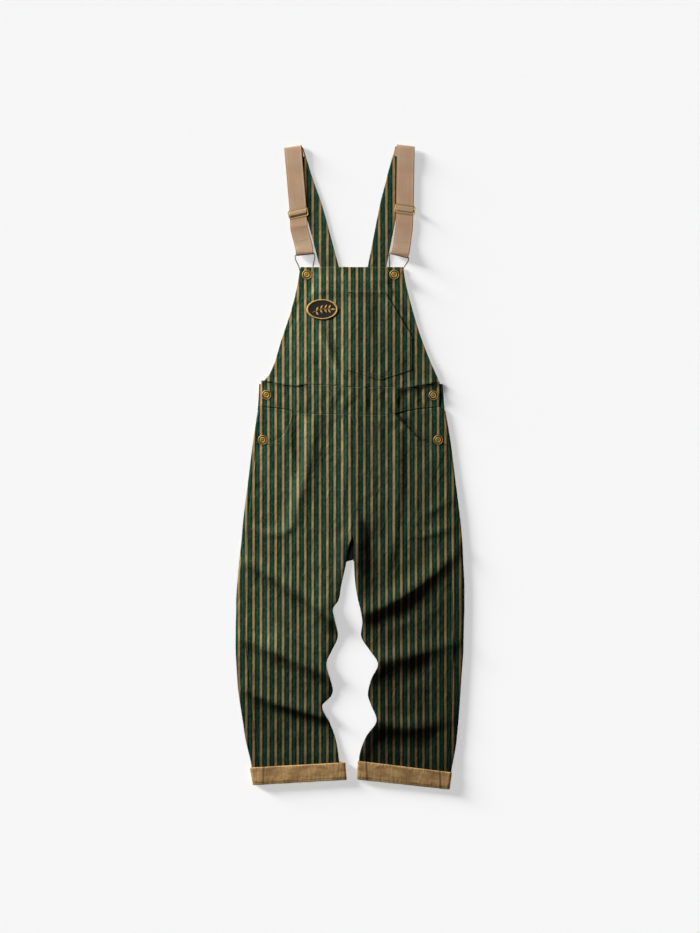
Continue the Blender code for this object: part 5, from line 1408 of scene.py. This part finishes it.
# Outward share and level of the felt from its edge to its middle.
PATCH_PROFILE = ((1.0, 0.0), (1.0, 0.5), (0.975, 0.86), (0.93, 0.95), (0.86, 0.66), (0.6, 0.62),
                 (0.3, 0.62), (0.04, 0.62))
PATCH_SIDES, PATCH_STRANDS, PATCH_LIFT = 96, 190, 0.45
LEAF_STEMS = ((-13.0, -3.6), (-4.0, 0.0), (5.0, 1.2), (13.0, 0.8))
TOP_LEAF = ((17.0, 0.2), -4.0, 1.0)
LEAF_TURNS, LEAF_SIZE = (58.0, -62.0), 0.92
LEAF_LENGTH, LEAF_WIDTH, LEAF_STITCHES = 9.0, 2.3, 15
STEM = ((-20.0, -6.5), (-8.0, -1.5), (4.0, 1.0), (18.0, 0.0))


def oval(reach, angles, level):
    """Ring of points round the patch, at a share of its size."""
    x, y = (middle + half * reach * turn for middle, half, turn in zip(
        PATCH_CENTRE, PATCH_HALF, (np.cos(angles), np.sin(angles))))
    return grid(x, y, level)


def satin_leaf(root, angle, size, level):
    """Short stitches laid side by side into a pointed leaf."""
    t = ((np.arange(LEAF_STITCHES) + 0.5) / LEAF_STITCHES)[:, None]
    way, across = directions(angle)
    spine = np.array(Vector(PATCH_CENTRE) + Vector(root)) + (1.0 + t * LEAF_LENGTH * size) * way
    half = across * (LEAF_WIDTH * size * np.sin(pi * t ** 0.8))
    ends = [spine - half - way * 0.2, spine + half + way * 0.8]
    return np.stack([grid(place[:, 0], place[:, 1], level + 0.12) for place in ends], axis=1)


def patch():
    """Oval felt patch with an overcast rim and a sprig of leaves in satin stitch."""
    base = float(bib_plain(*PATCH_CENTRE)) + PATCH_LIFT
    angles = 2 * pi * np.arange(PATCH_SIDES) / PATCH_SIDES
    points, faces = turned([oval(reach, angles, base + PATCH_THICKNESS * level)
                            for reach, level in PATCH_PROFILE])
    piece = add_piece("bib_patch_felt", points, faces, [FELT], "bib_patch", points[:, :2])
    felt_top = base + PATCH_THICKNESS * PATCH_PROFILE[-1][1]

    angles = 2 * pi * (np.arange(PATCH_STRANDS) + 0.5) / PATCH_STRANDS
    strands = [oval(1.012, angles, base + 0.45), oval(0.872, angles + 0.02, felt_top + 0.05)]
    sewn("patch_rim", [np.stack(strands, axis=1)], GOLD, 0.48, 1.0)
    leaves = [(stem, turn, LEAF_SIZE) for stem in LEAF_STEMS for turn in LEAF_TURNS] + [TOP_LEAF]
    motif = [satin_leaf(stem, radians(turn), size, felt_top) for stem, turn, size in leaves]
    motif.append(stitches(np.array(STEM) + PATCH_CENTRE, level_at(felt_top + 0.2), 1.6, 2.2, 0.0))
    sewn("patch_sprig", motif, GOLD, 0.30, 0.35)


# ---- straps and webbing ----
STRAP_ON_BIB, STRAP_DROP = 12.0, 16.0
STRAP_TONE, STRAP_SEWING = {"left": 0.78, "right": 0.70}, 2.6
# Painted shadow of the webbing on the left strap: how dark it is, how far beside the webbing it
# reaches, and where it begins up the strap.
UNDER_WEBBING_SHADE, UNDER_WEBBING_BESIDE, UNDER_WEBBING_ABOVE = 0.62, (22.0, 3.0), (470.0, 510.0)
ON_STRAP = BAND + SEAM_GAP + WEBBING / 2
FOLD_RADIUS = (WEBBING + SEAM_GAP) / 2
BAR_LEVEL = 5.4         # height of the buckle's wire
LOOP_RADIUS = WIRE + SEAM_GAP + WEBBING / 2
SLIDER_LEVEL = ON_STRAP + WEBBING / 2 + SEAM_GAP + WIRE
SLIDER_HALF = 8.5       # from the slider's middle bar to its outer bars
BAR_SHARE = 0.85        # the slider's middle bar is thinner than its frame
STRAIGHT_TO_BAR = 14.0  # length of webbing square to the buckle
TAIL_ON_STRAP, TAIL_END, TAIL_POINTS = 28.0, 34.0, 2
WEBBING_TONE = {"left": 0.95, "right": 1.07}
# The elastic buckles a little beyond the slider: how high, and the bump's shape.
KINK = {"left": 0.9, "right": 0.25}
KINK_SHAPE = ((16.0, 0.0), (22.0, 0.5), (27.0, 1.0), (33.0, 0.5), (42.0, 0.0))


def along(points, distance):
    """Point and heading on a chain of points at a distance from its start."""
    for (ax, ay), (bx, by) in zip(points, points[1:]):
        span = np.hypot(bx - ax, by - ay)
        if distance <= span or (bx, by) == tuple(points[-1]):
            part = distance / span
            return ax + (bx - ax) * part, ay + (by - ay) * part, atan2(by - ay, bx - ax)
        distance -= span


def chain_length(points):
    return sum(float(np.hypot(b[0] - a[0], b[1] - a[1])) for a, b in zip(points, points[1:]))


def ribbon(stations, width, thickness, apart, profile):
    """Grids of the upper and lower side of a band through (x, y, z, direction across)."""
    stations = np.array(stations, float)
    steps = np.linalg.norm(np.diff(stations[:, :3], axis=0), axis=1)
    run = np.concatenate([[0.0], np.cumsum(steps)])
    at = run[-1] * spread(run[-1], apart, (0.0, 0.5, 1.3, 2.4))
    line = np.column_stack([through(run, stations[:, k], at) for k in range(4)])
    across = np.column_stack([np.cos(line[:, 3]), np.sin(line[:, 3]), np.zeros(len(line))])
    normal = unit(np.cross(across, np.gradient(line[:, :3], at, axis=0)))[:, None]
    offset = ((spread(width, 2.2, (0.0, 0.5, 1.2, 2.2)) - 0.5) * width)[None, :, None]
    raised = profile(offset)
    centre = line[:, None, :3] + across[:, None] * offset
    cloth = np.stack(np.broadcast_arrays(offset[..., 0], at[:, None]), -1)
    upper = centre + normal * (thickness / 2 + raised)
    return upper, centre - normal * (thickness / 2 + raised * 0.5), cloth


def strap_profile(offset):
    """A strap is a folded tube: pressed at its edges, a little full between the sewing."""
    edge = STRAP_WIDTH / 2 - np.abs(offset)
    return 0.12 * smooth(2.0, 7.0, edge) - 0.10 * hump(edge - STRAP_SEWING, 1.0)


def webbing_profile(offset):
    """Woven selvedges stand a little above the ribs."""
    return 0.10 * hump(WEBBING_WIDTH / 2 - np.abs(offset) - 1.2, 0.9)


def webbing_axis(side):
    """Plan of the webbing from its fold to the bar, square to the buckle at its end."""
    strap = STRAPS[side]
    bar = Vector(strap.buckle_bar)
    up = (bar - Vector(strap.button)).normalized()
    return strap.webbing_axis + [tuple(bar + up * STRAIGHT_TO_BAR), tuple(bar)]


def strap_colour(side, x, y):
    """Painted shadow of the webbing on the left strap, beside where it lies; each strap also has
    its own tone.
    """
    colour = np.full(np.shape(x), STRAP_TONE[side])
    if side == "left":
        middle = np.interp(-y, *zip(*((-v, u) for u, v in (*STRAPS[side].webbing_axis,
                                                          STRAPS[side].buckle_bar))))
        beside = smooth(*UNDER_WEBBING_BESIDE, x - middle - WEBBING_WIDTH / 2)
        colour = colour * (1.0 - UNDER_WEBBING_SHADE * beside * smooth(*UNDER_WEBBING_ABOVE, y))
    return colour


def back_strap(side):
    """Striped strap, from its end sewn on the back bib down to the ground and up to the fold."""
    axis, solid = STRAPS[side].strap_axis, "back_strap_" + side
    length, dropped = chain_length(axis), STRAP_ON_BIB + STRAP_DROP
    marks = [0.0, *(STRAP_ON_BIB + part * STRAP_DROP for part in (0.0, 0.35, 0.7, 1.0))]
    marks += [mix(dropped, length, i / 9) for i in range(1, 10)]
    high, low = CLOTH + SEAM_GAP + BAND / 2, BAND / 2
    stations = []
    for mark in marks:
        x, y, heading = along(axis, mark)
        level = mix(high, low, smooth(STRAP_ON_BIB, dropped, mark))
        stations.append((x, y, level, heading - pi / 2))
    upper, lower, _ = ribbon(stations, STRAP_WIDTH, BAND, 4.0, strap_profile)
    lower[..., 2] = np.maximum(lower[..., 2], 0.0)
    piece = shell(solid, "cloth", "twill", upper, lower, upper[..., :2], [STRIPED],
                  edge_rub(upper), strap_colour(side, upper[..., 0], upper[..., 1]))
    fine = np.array([along(axis, d)[:2] for d in np.linspace(30.0, length - 4.0, 80)])
    from_middle = STRAP_WIDTH / 2 - STRAP_SEWING
    sewn(solid + "_sewing", [stitches(offset_path(fine, d), level_at(BAND + 0.12))
                                      for d in (from_middle, -from_middle)])


def webbing_colour(side, x, y):
    """Painted light and shade: darker on the lit side of the hump over the slider's bar and lighter
    on its shaded side, and dark lines beside the outer bars; also lighter near the fold and darker
    close to the buckle's bar.
    """
    strap, fold_y = STRAPS[side], STRAPS[side].webbing_axis[0][1]
    place_x, place_y, _ = along(webbing_axis(side), strap.slider_place)
    tilt = radians(strap.slider_tilt)
    past = (x - place_x) * sin(tilt) - (y - place_y) * cos(tilt)
    colour = np.full(np.shape(x), WEBBING_TONE[side])
    colour = colour * (1.0 - 0.34 * hump(past + 3.0, 3.0) + 0.80 * hump(past - 4.2, 2.8))
    colour = colour * (1.0 - 0.35 * hump(np.abs(past) - SLIDER_HALF - 1.6, 1.3))
    colour = colour * (1.0 + 0.10 * smooth(fold_y - 9.0, fold_y - 2.0, y))
    return colour * (1.0 - 0.30 * smooth(6.0, 1.0, np.abs(y - strap.buckle_bar[1])))


def webbing_route(side, length):
    """Distance along the webbing's plan and height at each point, from its sewn tail on."""
    slider_at = STRAPS[side].slider_place
    hop = ON_STRAP + (SLIDER_LEVEL - ON_STRAP + WIRE * BAR_SHARE + SEAM_GAP / 3 + WEBBING / 2)
    low, flank = WEBBING / 2 + SEAM_GAP, SLIDER_HALF - 2.6
    route = [(TAIL_ON_STRAP, ON_STRAP), (TAIL_ON_STRAP / 2, ON_STRAP)]
    route += [(FOLD_RADIUS * 2 + FOLD_RADIUS * cos(angle),
               ON_STRAP + FOLD_RADIUS + FOLD_RADIUS * sin(angle))
              for angle in turning(6, -pi / 2, -pi * 3 / 2)]
    route += [(TAIL_ON_STRAP + 2, ON_STRAP + FOLD_RADIUS * 2), (TAIL_ON_STRAP + 30, ON_STRAP),
              (slider_at / 2, ON_STRAP), (slider_at - 22, ON_STRAP)]
    route += [(slider_at + past, height) for past, height in (
        (-SLIDER_HALF - 1, ON_STRAP), (-flank, ON_STRAP + 0.4), (-2.8, hop - 0.7), (0.0, hop),
        (2.8, hop - 0.7), (flank, ON_STRAP + 0.4), (SLIDER_HALF + 1, ON_STRAP))]
    route += [(slider_at + past, ON_STRAP + KINK[side] * rise) for past, rise in KINK_SHAPE]
    route += [(length - 32, ON_STRAP), (length - 20, ON_STRAP + 0.9), (length - 10, ON_STRAP + 3.1),
              (length - 4, BAR_LEVEL + LOOP_RADIUS - 0.3)]
    route += [(length + LOOP_RADIUS * cos(angle), BAR_LEVEL + LOOP_RADIUS * sin(angle))
              for angle in turning(6, pi / 2, -pi / 2)]
    return route + [(length - 6, low + 1.9), (length - 14, low + 0.6), (length - 24, low),
                    (length - TAIL_END, low)]


def webbing(side):
    """Elastic: sewn on the strap, folded over, through the slider and round the bar."""
    strap, axis, solid = STRAPS[side], webbing_axis(side), "webbing_" + side
    length = chain_length(axis)
    strap_way = along(strap.strap_axis, chain_length(strap.strap_axis))[2]
    strap_heading = strap_way - pi / 2
    strap_end, strap_step = np.array(strap.strap_axis[-1]), directions(strap_way)[0]
    fold_at = np.array(along(axis, FOLD_RADIUS * 2)[:2])
    pivot = strap_end + strap_step * float((fold_at - strap_end) @ strap_step)
    stations = []
    for count, (place, z) in enumerate(webbing_route(side, length)):
        x, y, heading = along(axis, place)
        across = heading + pi / 2
        if count < TAIL_POINTS:
            x, y = pivot - strap_step * (place - FOLD_RADIUS * 2)
            across = strap_heading
        elif count < 9:
            across = mix(strap_heading, across, count / 9)
        else:
            across = mix(across, mix(strap_heading, across, 0.6), smooth(50.0, 4.0, place))
            near_slider = smooth(34.0, 12.0, abs(place - strap.slider_place))
            across = mix(across, radians(strap.slider_tilt), near_slider)
        stations.append((x, y, z, across))
    upper, lower, cloth = ribbon(stations, WEBBING_WIDTH, WEBBING, 1.6, webbing_profile)
    piece = shell(solid, "elastic", "webbing", upper, lower, cloth, [ELASTIC],
                  depth=webbing_colour(side, upper[..., 0], upper[..., 1]))
    "back_strap_" + side
    "slider_" + side
    "buckle_" + side
    runs, half = [], WEBBING_WIDTH / 2 - 3.0
    for place, height in ((TAIL_ON_STRAP - 4.0, ON_STRAP + FOLD_RADIUS * 2 + WEBBING / 2 + 0.1),
                          (length - TAIL_END + 5.0, ON_STRAP + WEBBING / 2 + 0.25)):
        x, y, heading = along(axis, place)
        across = directions(heading)[1] * half
        runs.append(stitches([(x, y) - across, (x, y) + across], level_at(height), 2.6, 2.0))
    sewn(solid + "_sewing", runs, SEWING_PALE, 0.25)


# ---- brass fittings ----
WIRE_SIDES, SLIDER_CORNER, SLIDER_OVERHANG, BAR_STEPS = 14, 3.5, 2.2, 9
BUCKLE_HALF = ((0.0, -5.2), (4.2, -3.4), (8.6, -1.2), (12.4, 3.4), (14.0, 9.5), (14.6, 17.0),
               (17.0, 25.0), (19.6, 31.0), (20.6, 36.0))
BUCKLE_CORNER, BUCKLE_WIRE, BEND_STEPS = 3.0, 0.95, 5
SLIDER_DARK, BUCKLE_DARK = 0.12, 0.85
BUTTON_SIDES, BUTTON_SINK, SHANK_RADIUS, SHANK_FOOT = 64, 0.1, 3.5, 1.7
# Across the head: part of its radius, part of its height, and how dark the brass is there.
BUTTON_FACE = ((0.88, 0.00, 0.9), (0.96, 0.08, 0.6), (1.00, 0.26, 0.3), (0.995, 0.44, 0.0),
               (0.955, 0.60, 0.0), (0.90, 0.64, 0.0), (0.86, 0.58, 0.4), (0.82, 0.46, 1.0),
               (0.74, 0.42, 1.0), (0.66, 0.44, 1.0), (0.60, 0.54, 0.5), (0.55, 0.62, 0.0),
               (0.47, 0.64, 0.0), (0.40, 0.60, 0.1), (0.35, 0.48, 0.8), (0.30, 0.46, 1.0),
               (0.24, 0.52, 0.6), (0.17, 0.60, 0.3), (0.09, 0.62, 0.45), (0.02, 0.62, 0.5))


def brass_piece(solid, points, faces, hollow):
    """hollow says how dark each point has become."""
    values = {"hollow": np.broadcast_to(hollow, len(points))}
    add_piece(solid + "_brass", points, faces, [BRASS], solid, values=values)


def wire(plan, level, radius, closed=True):
    """Points and faces of a round wire that lies flat; an open one is capped."""
    path = grid(plan[:, 0], plan[:, 1], level)
    ahead = unit(np.roll(path, -1, axis=0) - np.roll(path, 1, axis=0) if closed
                 else np.gradient(path, axis=0))
    side = unit(np.cross(ahead, UP))
    rise = np.cross(side, ahead)
    angles = 2 * pi * np.arange(WIRE_SIDES) / WIRE_SIDES
    rings = (path[:, None] + side[:, None] * (radius * np.cos(angles))[None, :, None]
             + rise[:, None] * (radius * np.sin(angles))[None, :, None])
    if not closed:
        return turned(list(rings))
    index = np.arange(len(path) * WIRE_SIDES).reshape(-1, WIRE_SIDES)
    return rings.reshape(-1, 3), list(ring_quads(np.concatenate([index, index[:1]])))


def bent(points):
    """Closed plan path with its corners bent round."""
    bends = []
    for i, here in enumerate(points):
        a, b = ((here + other) / 2 for other in (points[i - 1], points[(i + 1) % len(points)]))
        for t in np.arange(BEND_STEPS) / BEND_STEPS:
            bends.append((1 - t) ** 2 * a + 2 * t * (1 - t) * here + t * t * b)
    return np.array(bends)


def placed(points, centre, angle):
    """Plan points turned by an angle and moved to a centre."""
    return np.asarray(points, float) @ np.array(directions(angle)) + np.asarray(centre, float)


def rounded_box(half_x, half_y, corner, steps=8):
    points = []
    for quarter in range(4):
        cx = (half_x - corner) * (1 if quarter in (0, 3) else -1)
        cy = (half_y - corner) * (1 if quarter in (0, 1) else -1)
        for angle in turning(steps, pi / 2 * quarter, pi / 2 * (quarter + 1)):
            points.append((cx + corner * cos(angle), cy + corner * sin(angle)))
    return points


def slider(side):
    """Brass slider: a rounded wire frame with a middle bar under the webbing."""
    strap = STRAPS[side]
    at = along(webbing_axis(side), strap.slider_place)[:2], radians(strap.slider_tilt)
    half_length = WEBBING_WIDTH / 2 + SLIDER_OVERHANG
    outline_of = placed(rounded_box(half_length, SLIDER_HALF, SLIDER_CORNER), *at)
    outer = wire(outline_of, SLIDER_LEVEL, WIRE)
    bar = wire(placed([(x, 0.0) for x in np.linspace(-half_length, half_length, BAR_STEPS)], *at),
               SLIDER_LEVEL, WIRE * BAR_SHARE, closed=False)
    faces = outer[1] + [face + len(outer[0]) for face in bar[1]]
    brass_piece("slider_" + side, np.concatenate([outer[0], bar[0]]), faces, SLIDER_DARK)


def buckle(side):
    """Bent-wire buckle: its bar in the webbing's loop, its foot round the button."""
    (bar_x, bar_y), (button_x, button_y) = STRAPS[side].buckle_bar, STRAPS[side].button
    rise = float(np.hypot(bar_x - button_x, bar_y - button_y))
    lean = atan2(bar_y - button_y, bar_x - button_x)
    half = [*BUCKLE_HALF, *((BUCKLE_HALF[-1][0] - BUCKLE_CORNER * (1 - cos(angle)),
                             rise - BUCKLE_CORNER * (1 - sin(angle)))
                            for angle in turning(3, 0.0, pi / 2)[1:])]
    plan = half + [(-x, y) for x, y in reversed(half[1:])]
    plan = bent(placed(plan, STRAPS[side].button, lean - pi / 2))
    brass_piece("buckle_" + side, *wire(plan, BAR_LEVEL, BUCKLE_WIRE), BUCKLE_DARK)


def button(solid, centre, ground, head_level):
    """Tack button turned about its shank: rolled rim, sunk rings and a raised centre."""
    foot = SHANK_RADIUS * SHANK_FOOT
    profile = [(0.4, ground, 0.5), (foot, ground, 0.5), (foot, ground + 0.3, 0.5),
               (SHANK_RADIUS, ground + 0.5, 0.8), (SHANK_RADIUS, head_level, 1.0)]
    profile += [(BUTTON_RADIUS * reach, head_level + BUTTON_HEAD * rise, dark)
                for reach, rise, dark in BUTTON_FACE]
    angles, (x, y) = 2 * pi * np.arange(BUTTON_SIDES) / BUTTON_SIDES, centre
    rings = [grid(x + radius * np.cos(angles), y + radius * np.sin(angles), z)
             for radius, z, _ in profile]
    brass_piece(solid, *turned(rings), np.repeat([dark for _, _, dark in profile], BUTTON_SIDES))


def buttons():
    """The heads of the bib buttons lie over the buckles, the others close over the cloth."""
    for side in SIDES:
        centre = STRAPS[side].button
        cloth_top = float(bib_height(*centre))
        button("bib_button_" + side, centre, cloth_top - BUTTON_SINK, BAR_LEVEL + WIRE + 0.5)
    for name, centre in SIDE_BUTTONS.items():
        if name.startswith("waist"):
            cloth_top, head = float(band_height(*centre)), BAND_LEVEL + SEAM_GAP + 1.2
        else:
            cloth_top = float(facing_height(name.rsplit("_", 1)[1], *centre))
            head = cloth_top + SEAM_GAP * 2 + 2.2
        button(name, centre, cloth_top - BUTTON_SINK, head)


# ---- sewing on the panels ----
# Distances of the lines of sewing from their edges.
SEAM_LINE, SECOND_LINE, CENTRE_LINE, TOP_LINE, END_LINE, HEM_LINE = 2.2, 7.6, 2.4, 2.6, 2.4, 2.0
MOUTH_SEWING_TOP, CENTRE_SEWN = 113.0, (-146.0, 106.0, 120)
FLY_X, FLY_TOP, FLY_TURN, FLY_WIDTH, FLY_DEPTH, FLY_SECOND = 56.7, 104.0, -40.0, 47.0, 48.0, 5.4


def leg_sewing(side):
    out, runs = OUTWARD[side], []

    def on_leg(x, y):
        return leg_surface(side, x, unsettle(side, x, y))

    heights = np.linspace(hem_height(side) + 40.0, SCOOP_BOTTOM - 3.0, 200)
    x = outseam(side, heights) - out * SEAM_LINE
    runs.append(stitches(path_of(x, settle(side, x, heights)), on_leg))
    mouth_y = np.concatenate([np.linspace(48.3, 60.0, 30), np.linspace(61.0, 114.0, 50)])
    for inset in (SEAM_LINE, SECOND_LINE):
        path = offset_path(path_of(scoop_edge(side, mouth_y), mouth_y), -inset)
        path = path[path[:, 1] < MOUTH_SEWING_TOP]
        path[:, 1] = settle(side, path[:, 0], path[:, 1])
        runs.append(stitches(path, on_leg))
    if side == "right":
        runs.append(stitches(path_of(CENTRE_X + CENTRE_LINE, np.linspace(*CENTRE_SEWN)), on_leg))
        fly = [(FLY_X, y) for y in np.linspace(FLY_TOP, FLY_TURN, 40)]
        fly += [(FLY_X - FLY_WIDTH * (1 - cos(a)), FLY_TURN - FLY_DEPTH * sin(a))
                for a in np.linspace(0.05, pi / 2, 22)]
        runs += [stitches(fly, on_leg), stitches(offset_path(np.array(fly), -FLY_SECOND), on_leg),
                 bar_tack((11.5, -90.0), 0.1, on_leg)]
    mouth_foot = float(scoop_edge(side, 50.0)) + out * -2.0, 46.0
    runs.append(bar_tack(mouth_foot, 0.2 * out, on_leg, length=9.0))
    sewn("front_leg_%s_sewing" % side, runs)


def band_sewing():
    first, last = BAND_ENDS
    x = np.linspace(first + 2.5, last - 2.5, 160)
    low, high = band_low(x), band_high(x)
    runs = [stitches(path_of(x, y), band_height) for y in (low + SEAM_LINE, high - TOP_LINE)]
    for end in (first + END_LINE, last - END_LINE):
        bottom, top = (float(np.interp(end, x, edge)) for edge in (low, high))
        runs.append(stitches(path_of(end, np.linspace(bottom + 2.5, top - 3.0, 20)), band_height))
    sewn("waistband_front_sewing", runs)


def bib_sewing():
    y = np.linspace(186.0, BIB_TOP - 1.5, 120)
    left, right = edges(BIB_ROWS, y)
    runs = [stitches(path_of(edge, y), bib_height)
            for edge in (left + HEM_LINE, left + SIDE_HEM, right - HEM_LINE, right - SIDE_HEM)]
    for row in (BIB_TOP - HEM_LINE, BIB_TOP - BIB_HEM):
        left, right = edges(BIB_ROWS, row)
        x = np.linspace(left + HEM_LINE, right - HEM_LINE, 100)
        runs.append(stitches(path_of(x, row), bib_height))
    x = np.linspace(-166.0, 176.0, 120)
    runs.append(stitches(path_of(x, band_high(x) + END_LINE), bib_height))
    sewn("bib_front_sewing", runs)


def pocket_sewing():
    runs = []
    for inset in (SEAM_LINE, SIDE_HEM):
        left, right = POCKET_LEFT + inset, POCKET_RIGHT - inset
        corners = [(left, POCKET_TOP - 1.5), (left, float(pocket_bottom(left)) + inset),
                   (POCKET_POINT.x, POCKET_POINT.y + inset * 1.06),
                   (right, float(pocket_bottom(right)) + inset), (right, POCKET_CORNER - inset)]
        fine = [np.linspace(a, b, 30)[:-1] for a, b in zip(corners, corners[1:])]
        runs.append(stitches(np.concatenate([*fine, corners[-1:]]), pocket_height))
    slant = np.linspace((POCKET_MOUTH_LEFT, POCKET_TOP), (POCKET_RIGHT, POCKET_CORNER), 60)
    for inset in (SEAM_LINE, MOUTH_BAND - END_LINE):
        path = offset_path(slant, -inset)
        path = path[(path[:, 0] < POCKET_RIGHT - 1.5) & (path[:, 1] < POCKET_TOP - 1.5)]
        runs.append(stitches(path, pocket_height))
    x = np.linspace(POCKET_LEFT + 1.5, POCKET_MOUTH_LEFT - 2.0, 50)
    runs.append(stitches(path_of(x, POCKET_TOP - POCKET_HEM + 1.6), pocket_height))
    for corner in ((POCKET_LEFT + 4.6, POCKET_TOP - 1.8),
                   (POCKET_RIGHT - 4.6, POCKET_CORNER - 3.0)):
        runs.append(bar_tack(corner, 0.0, pocket_height, length=7.0))
    sewn("bib_pocket_sewing", runs)


# ---- build ----
for leg_side in SIDES:
    for make in (back_leg, front_leg, facing, cuff, back_strap, webbing, slider, buckle,
                 leg_sewing):
        make(leg_side)
flat_panel("waistband_back", BACK_BAND_ROWS, BAND)
above_band = BACK_BAND_TOP + SEAM_GAP
flat_panel("back_bib", [row._replace(y=max(row.y, above_band)) for row in BACK_BIB_ROWS], CLOTH)
for make in (front_band, band_sewing, bib, bib_sewing, pocket, pocket_sewing, patch, buttons):
    make()

# ---- floor, lights and camera ----
scene = bpy.context.scene
FLOOR_HALF, FLOOR_LEVEL, PAPER_WHITE = 4.0, -0.0001, (0.9, 0.9, 0.9, 1.0)
SHADOW_AZIMUTH = radians(150.0)
THIN_PARTS = ("webbing", "back_strap", "bib", "back_bib")


def floor():
    mesh = bpy.data.meshes.new("floor")
    corners = ((-1, -1), (1, -1), (1, 1), (-1, 1))
    mesh.from_pydata([(x * FLOOR_HALF, y * FLOOR_HALF, FLOOR_LEVEL) for x, y in corners], [],
                     [(0, 1, 2, 3)])
    plane = bpy.data.objects.new("floor", mesh)
    scene.collection.objects.link(plane)
    paper = bpy.data.materials.new("floor_paper")
    paper.use_nodes = True
    shader = paper.node_tree.nodes["Principled BSDF"]
    for key, value in (("Base Color", PAPER_WHITE), ("Roughness", 1.0),
                       ("Specular IOR Level", 0.0)):
        shader.inputs[key].default_value = value
    mesh.materials.append(paper)
    return plane


def light(name, kind, place, aim, energy, lights_up, casters=None, **settings):
    """Light that falls on some objects only and may be shaded by some only."""
    lamp = bpy.data.lights.new(name, kind)
    lamp.energy = energy
    for key, value in settings.items():
        setattr(lamp, key, value)
    holder = bpy.data.objects.new(name, lamp)
    holder.location = place
    holder.rotation_euler = (Vector(aim) - Vector(place)).to_track_quat("-Z", "Y").to_euler()
    scene.collection.objects.link(holder)
    holder.light_linking.receiver_collection = lights_up
    holder.light_linking.blocker_collection = casters


def collected(name, items):
    """Collection of some objects, which lights refer to."""
    collection = bpy.data.collections.new(name)
    for item in items:
        collection.objects.link(item)
    return collection


ground = floor()
garment = [item for item in scene.collection.all_objects if item.type == "MESH" and item != ground]
brass = [item for item in garment if item.name.endswith("_brass")]
thin_cloth = [item for item in garment if item.name.startswith(THIN_PARTS)]
no_shadow = (*THIN_PARTS, "buckle", "slider")
thick_cloth = [item for item in garment if not item.name.startswith(no_shadow)]
on_floor, on_garment = collected("lit_floor", [ground]), collected("lit_garment", garment)
for name, elevation, strength, width, casters in (
        ("low_sun", 11.5, 6.25, 15.0, collected("casts_short_shadow", thick_cloth)),
        ("lower_sun", 6.5, 11.03, 14.0, collected("casts_long_shadow", thin_cloth))):
    height, turn = radians(elevation), SHADOW_AZIMUTH
    way = Vector((cos(height) * cos(turn), cos(height) * sin(turn), sin(height)))
    light(name, "SUN", way * 3.0, (0, 0, 0), strength, on_floor, casters, angle=radians(width))
light("top_sun", "SUN", (0, 0, 3.0), (0, 0, 0), 0.515, on_floor, angle=radians(60.0))
light("softbox", "AREA", (-1.50, 1.62, 0.88), (-0.05, 0.1, 0.0), 124.0, on_garment,
      collected("casts_shade", [item for item in garment if item not in brass]),
      shape="RECTANGLE", size=0.45, size_y=0.45)
light("overhead", "AREA", (-0.25, 0.35, 2.2), (0.0, 0.2, 0.0), 11.5, collected("lit_brass", brass),
      shape="RECTANGLE", size=1.3, size_y=1.3)

world = bpy.data.worlds.new("studio")
scene.world = world
world.use_nodes = True
background = world.node_tree.nodes["Background"].inputs
background["Color"].default_value, background["Strength"].default_value = WHITE, 0.07

lens = bpy.data.cameras.new("camera")
lens.lens, lens.sensor_width, lens.clip_end = 85.0, 36.0, 50.0
camera = bpy.data.objects.new("camera", lens)
camera.location = (0.0, 0.0, 4.626)
scene.collection.objects.link(camera)
scene.camera = camera
scene.view_settings.view_transform = "Standard"
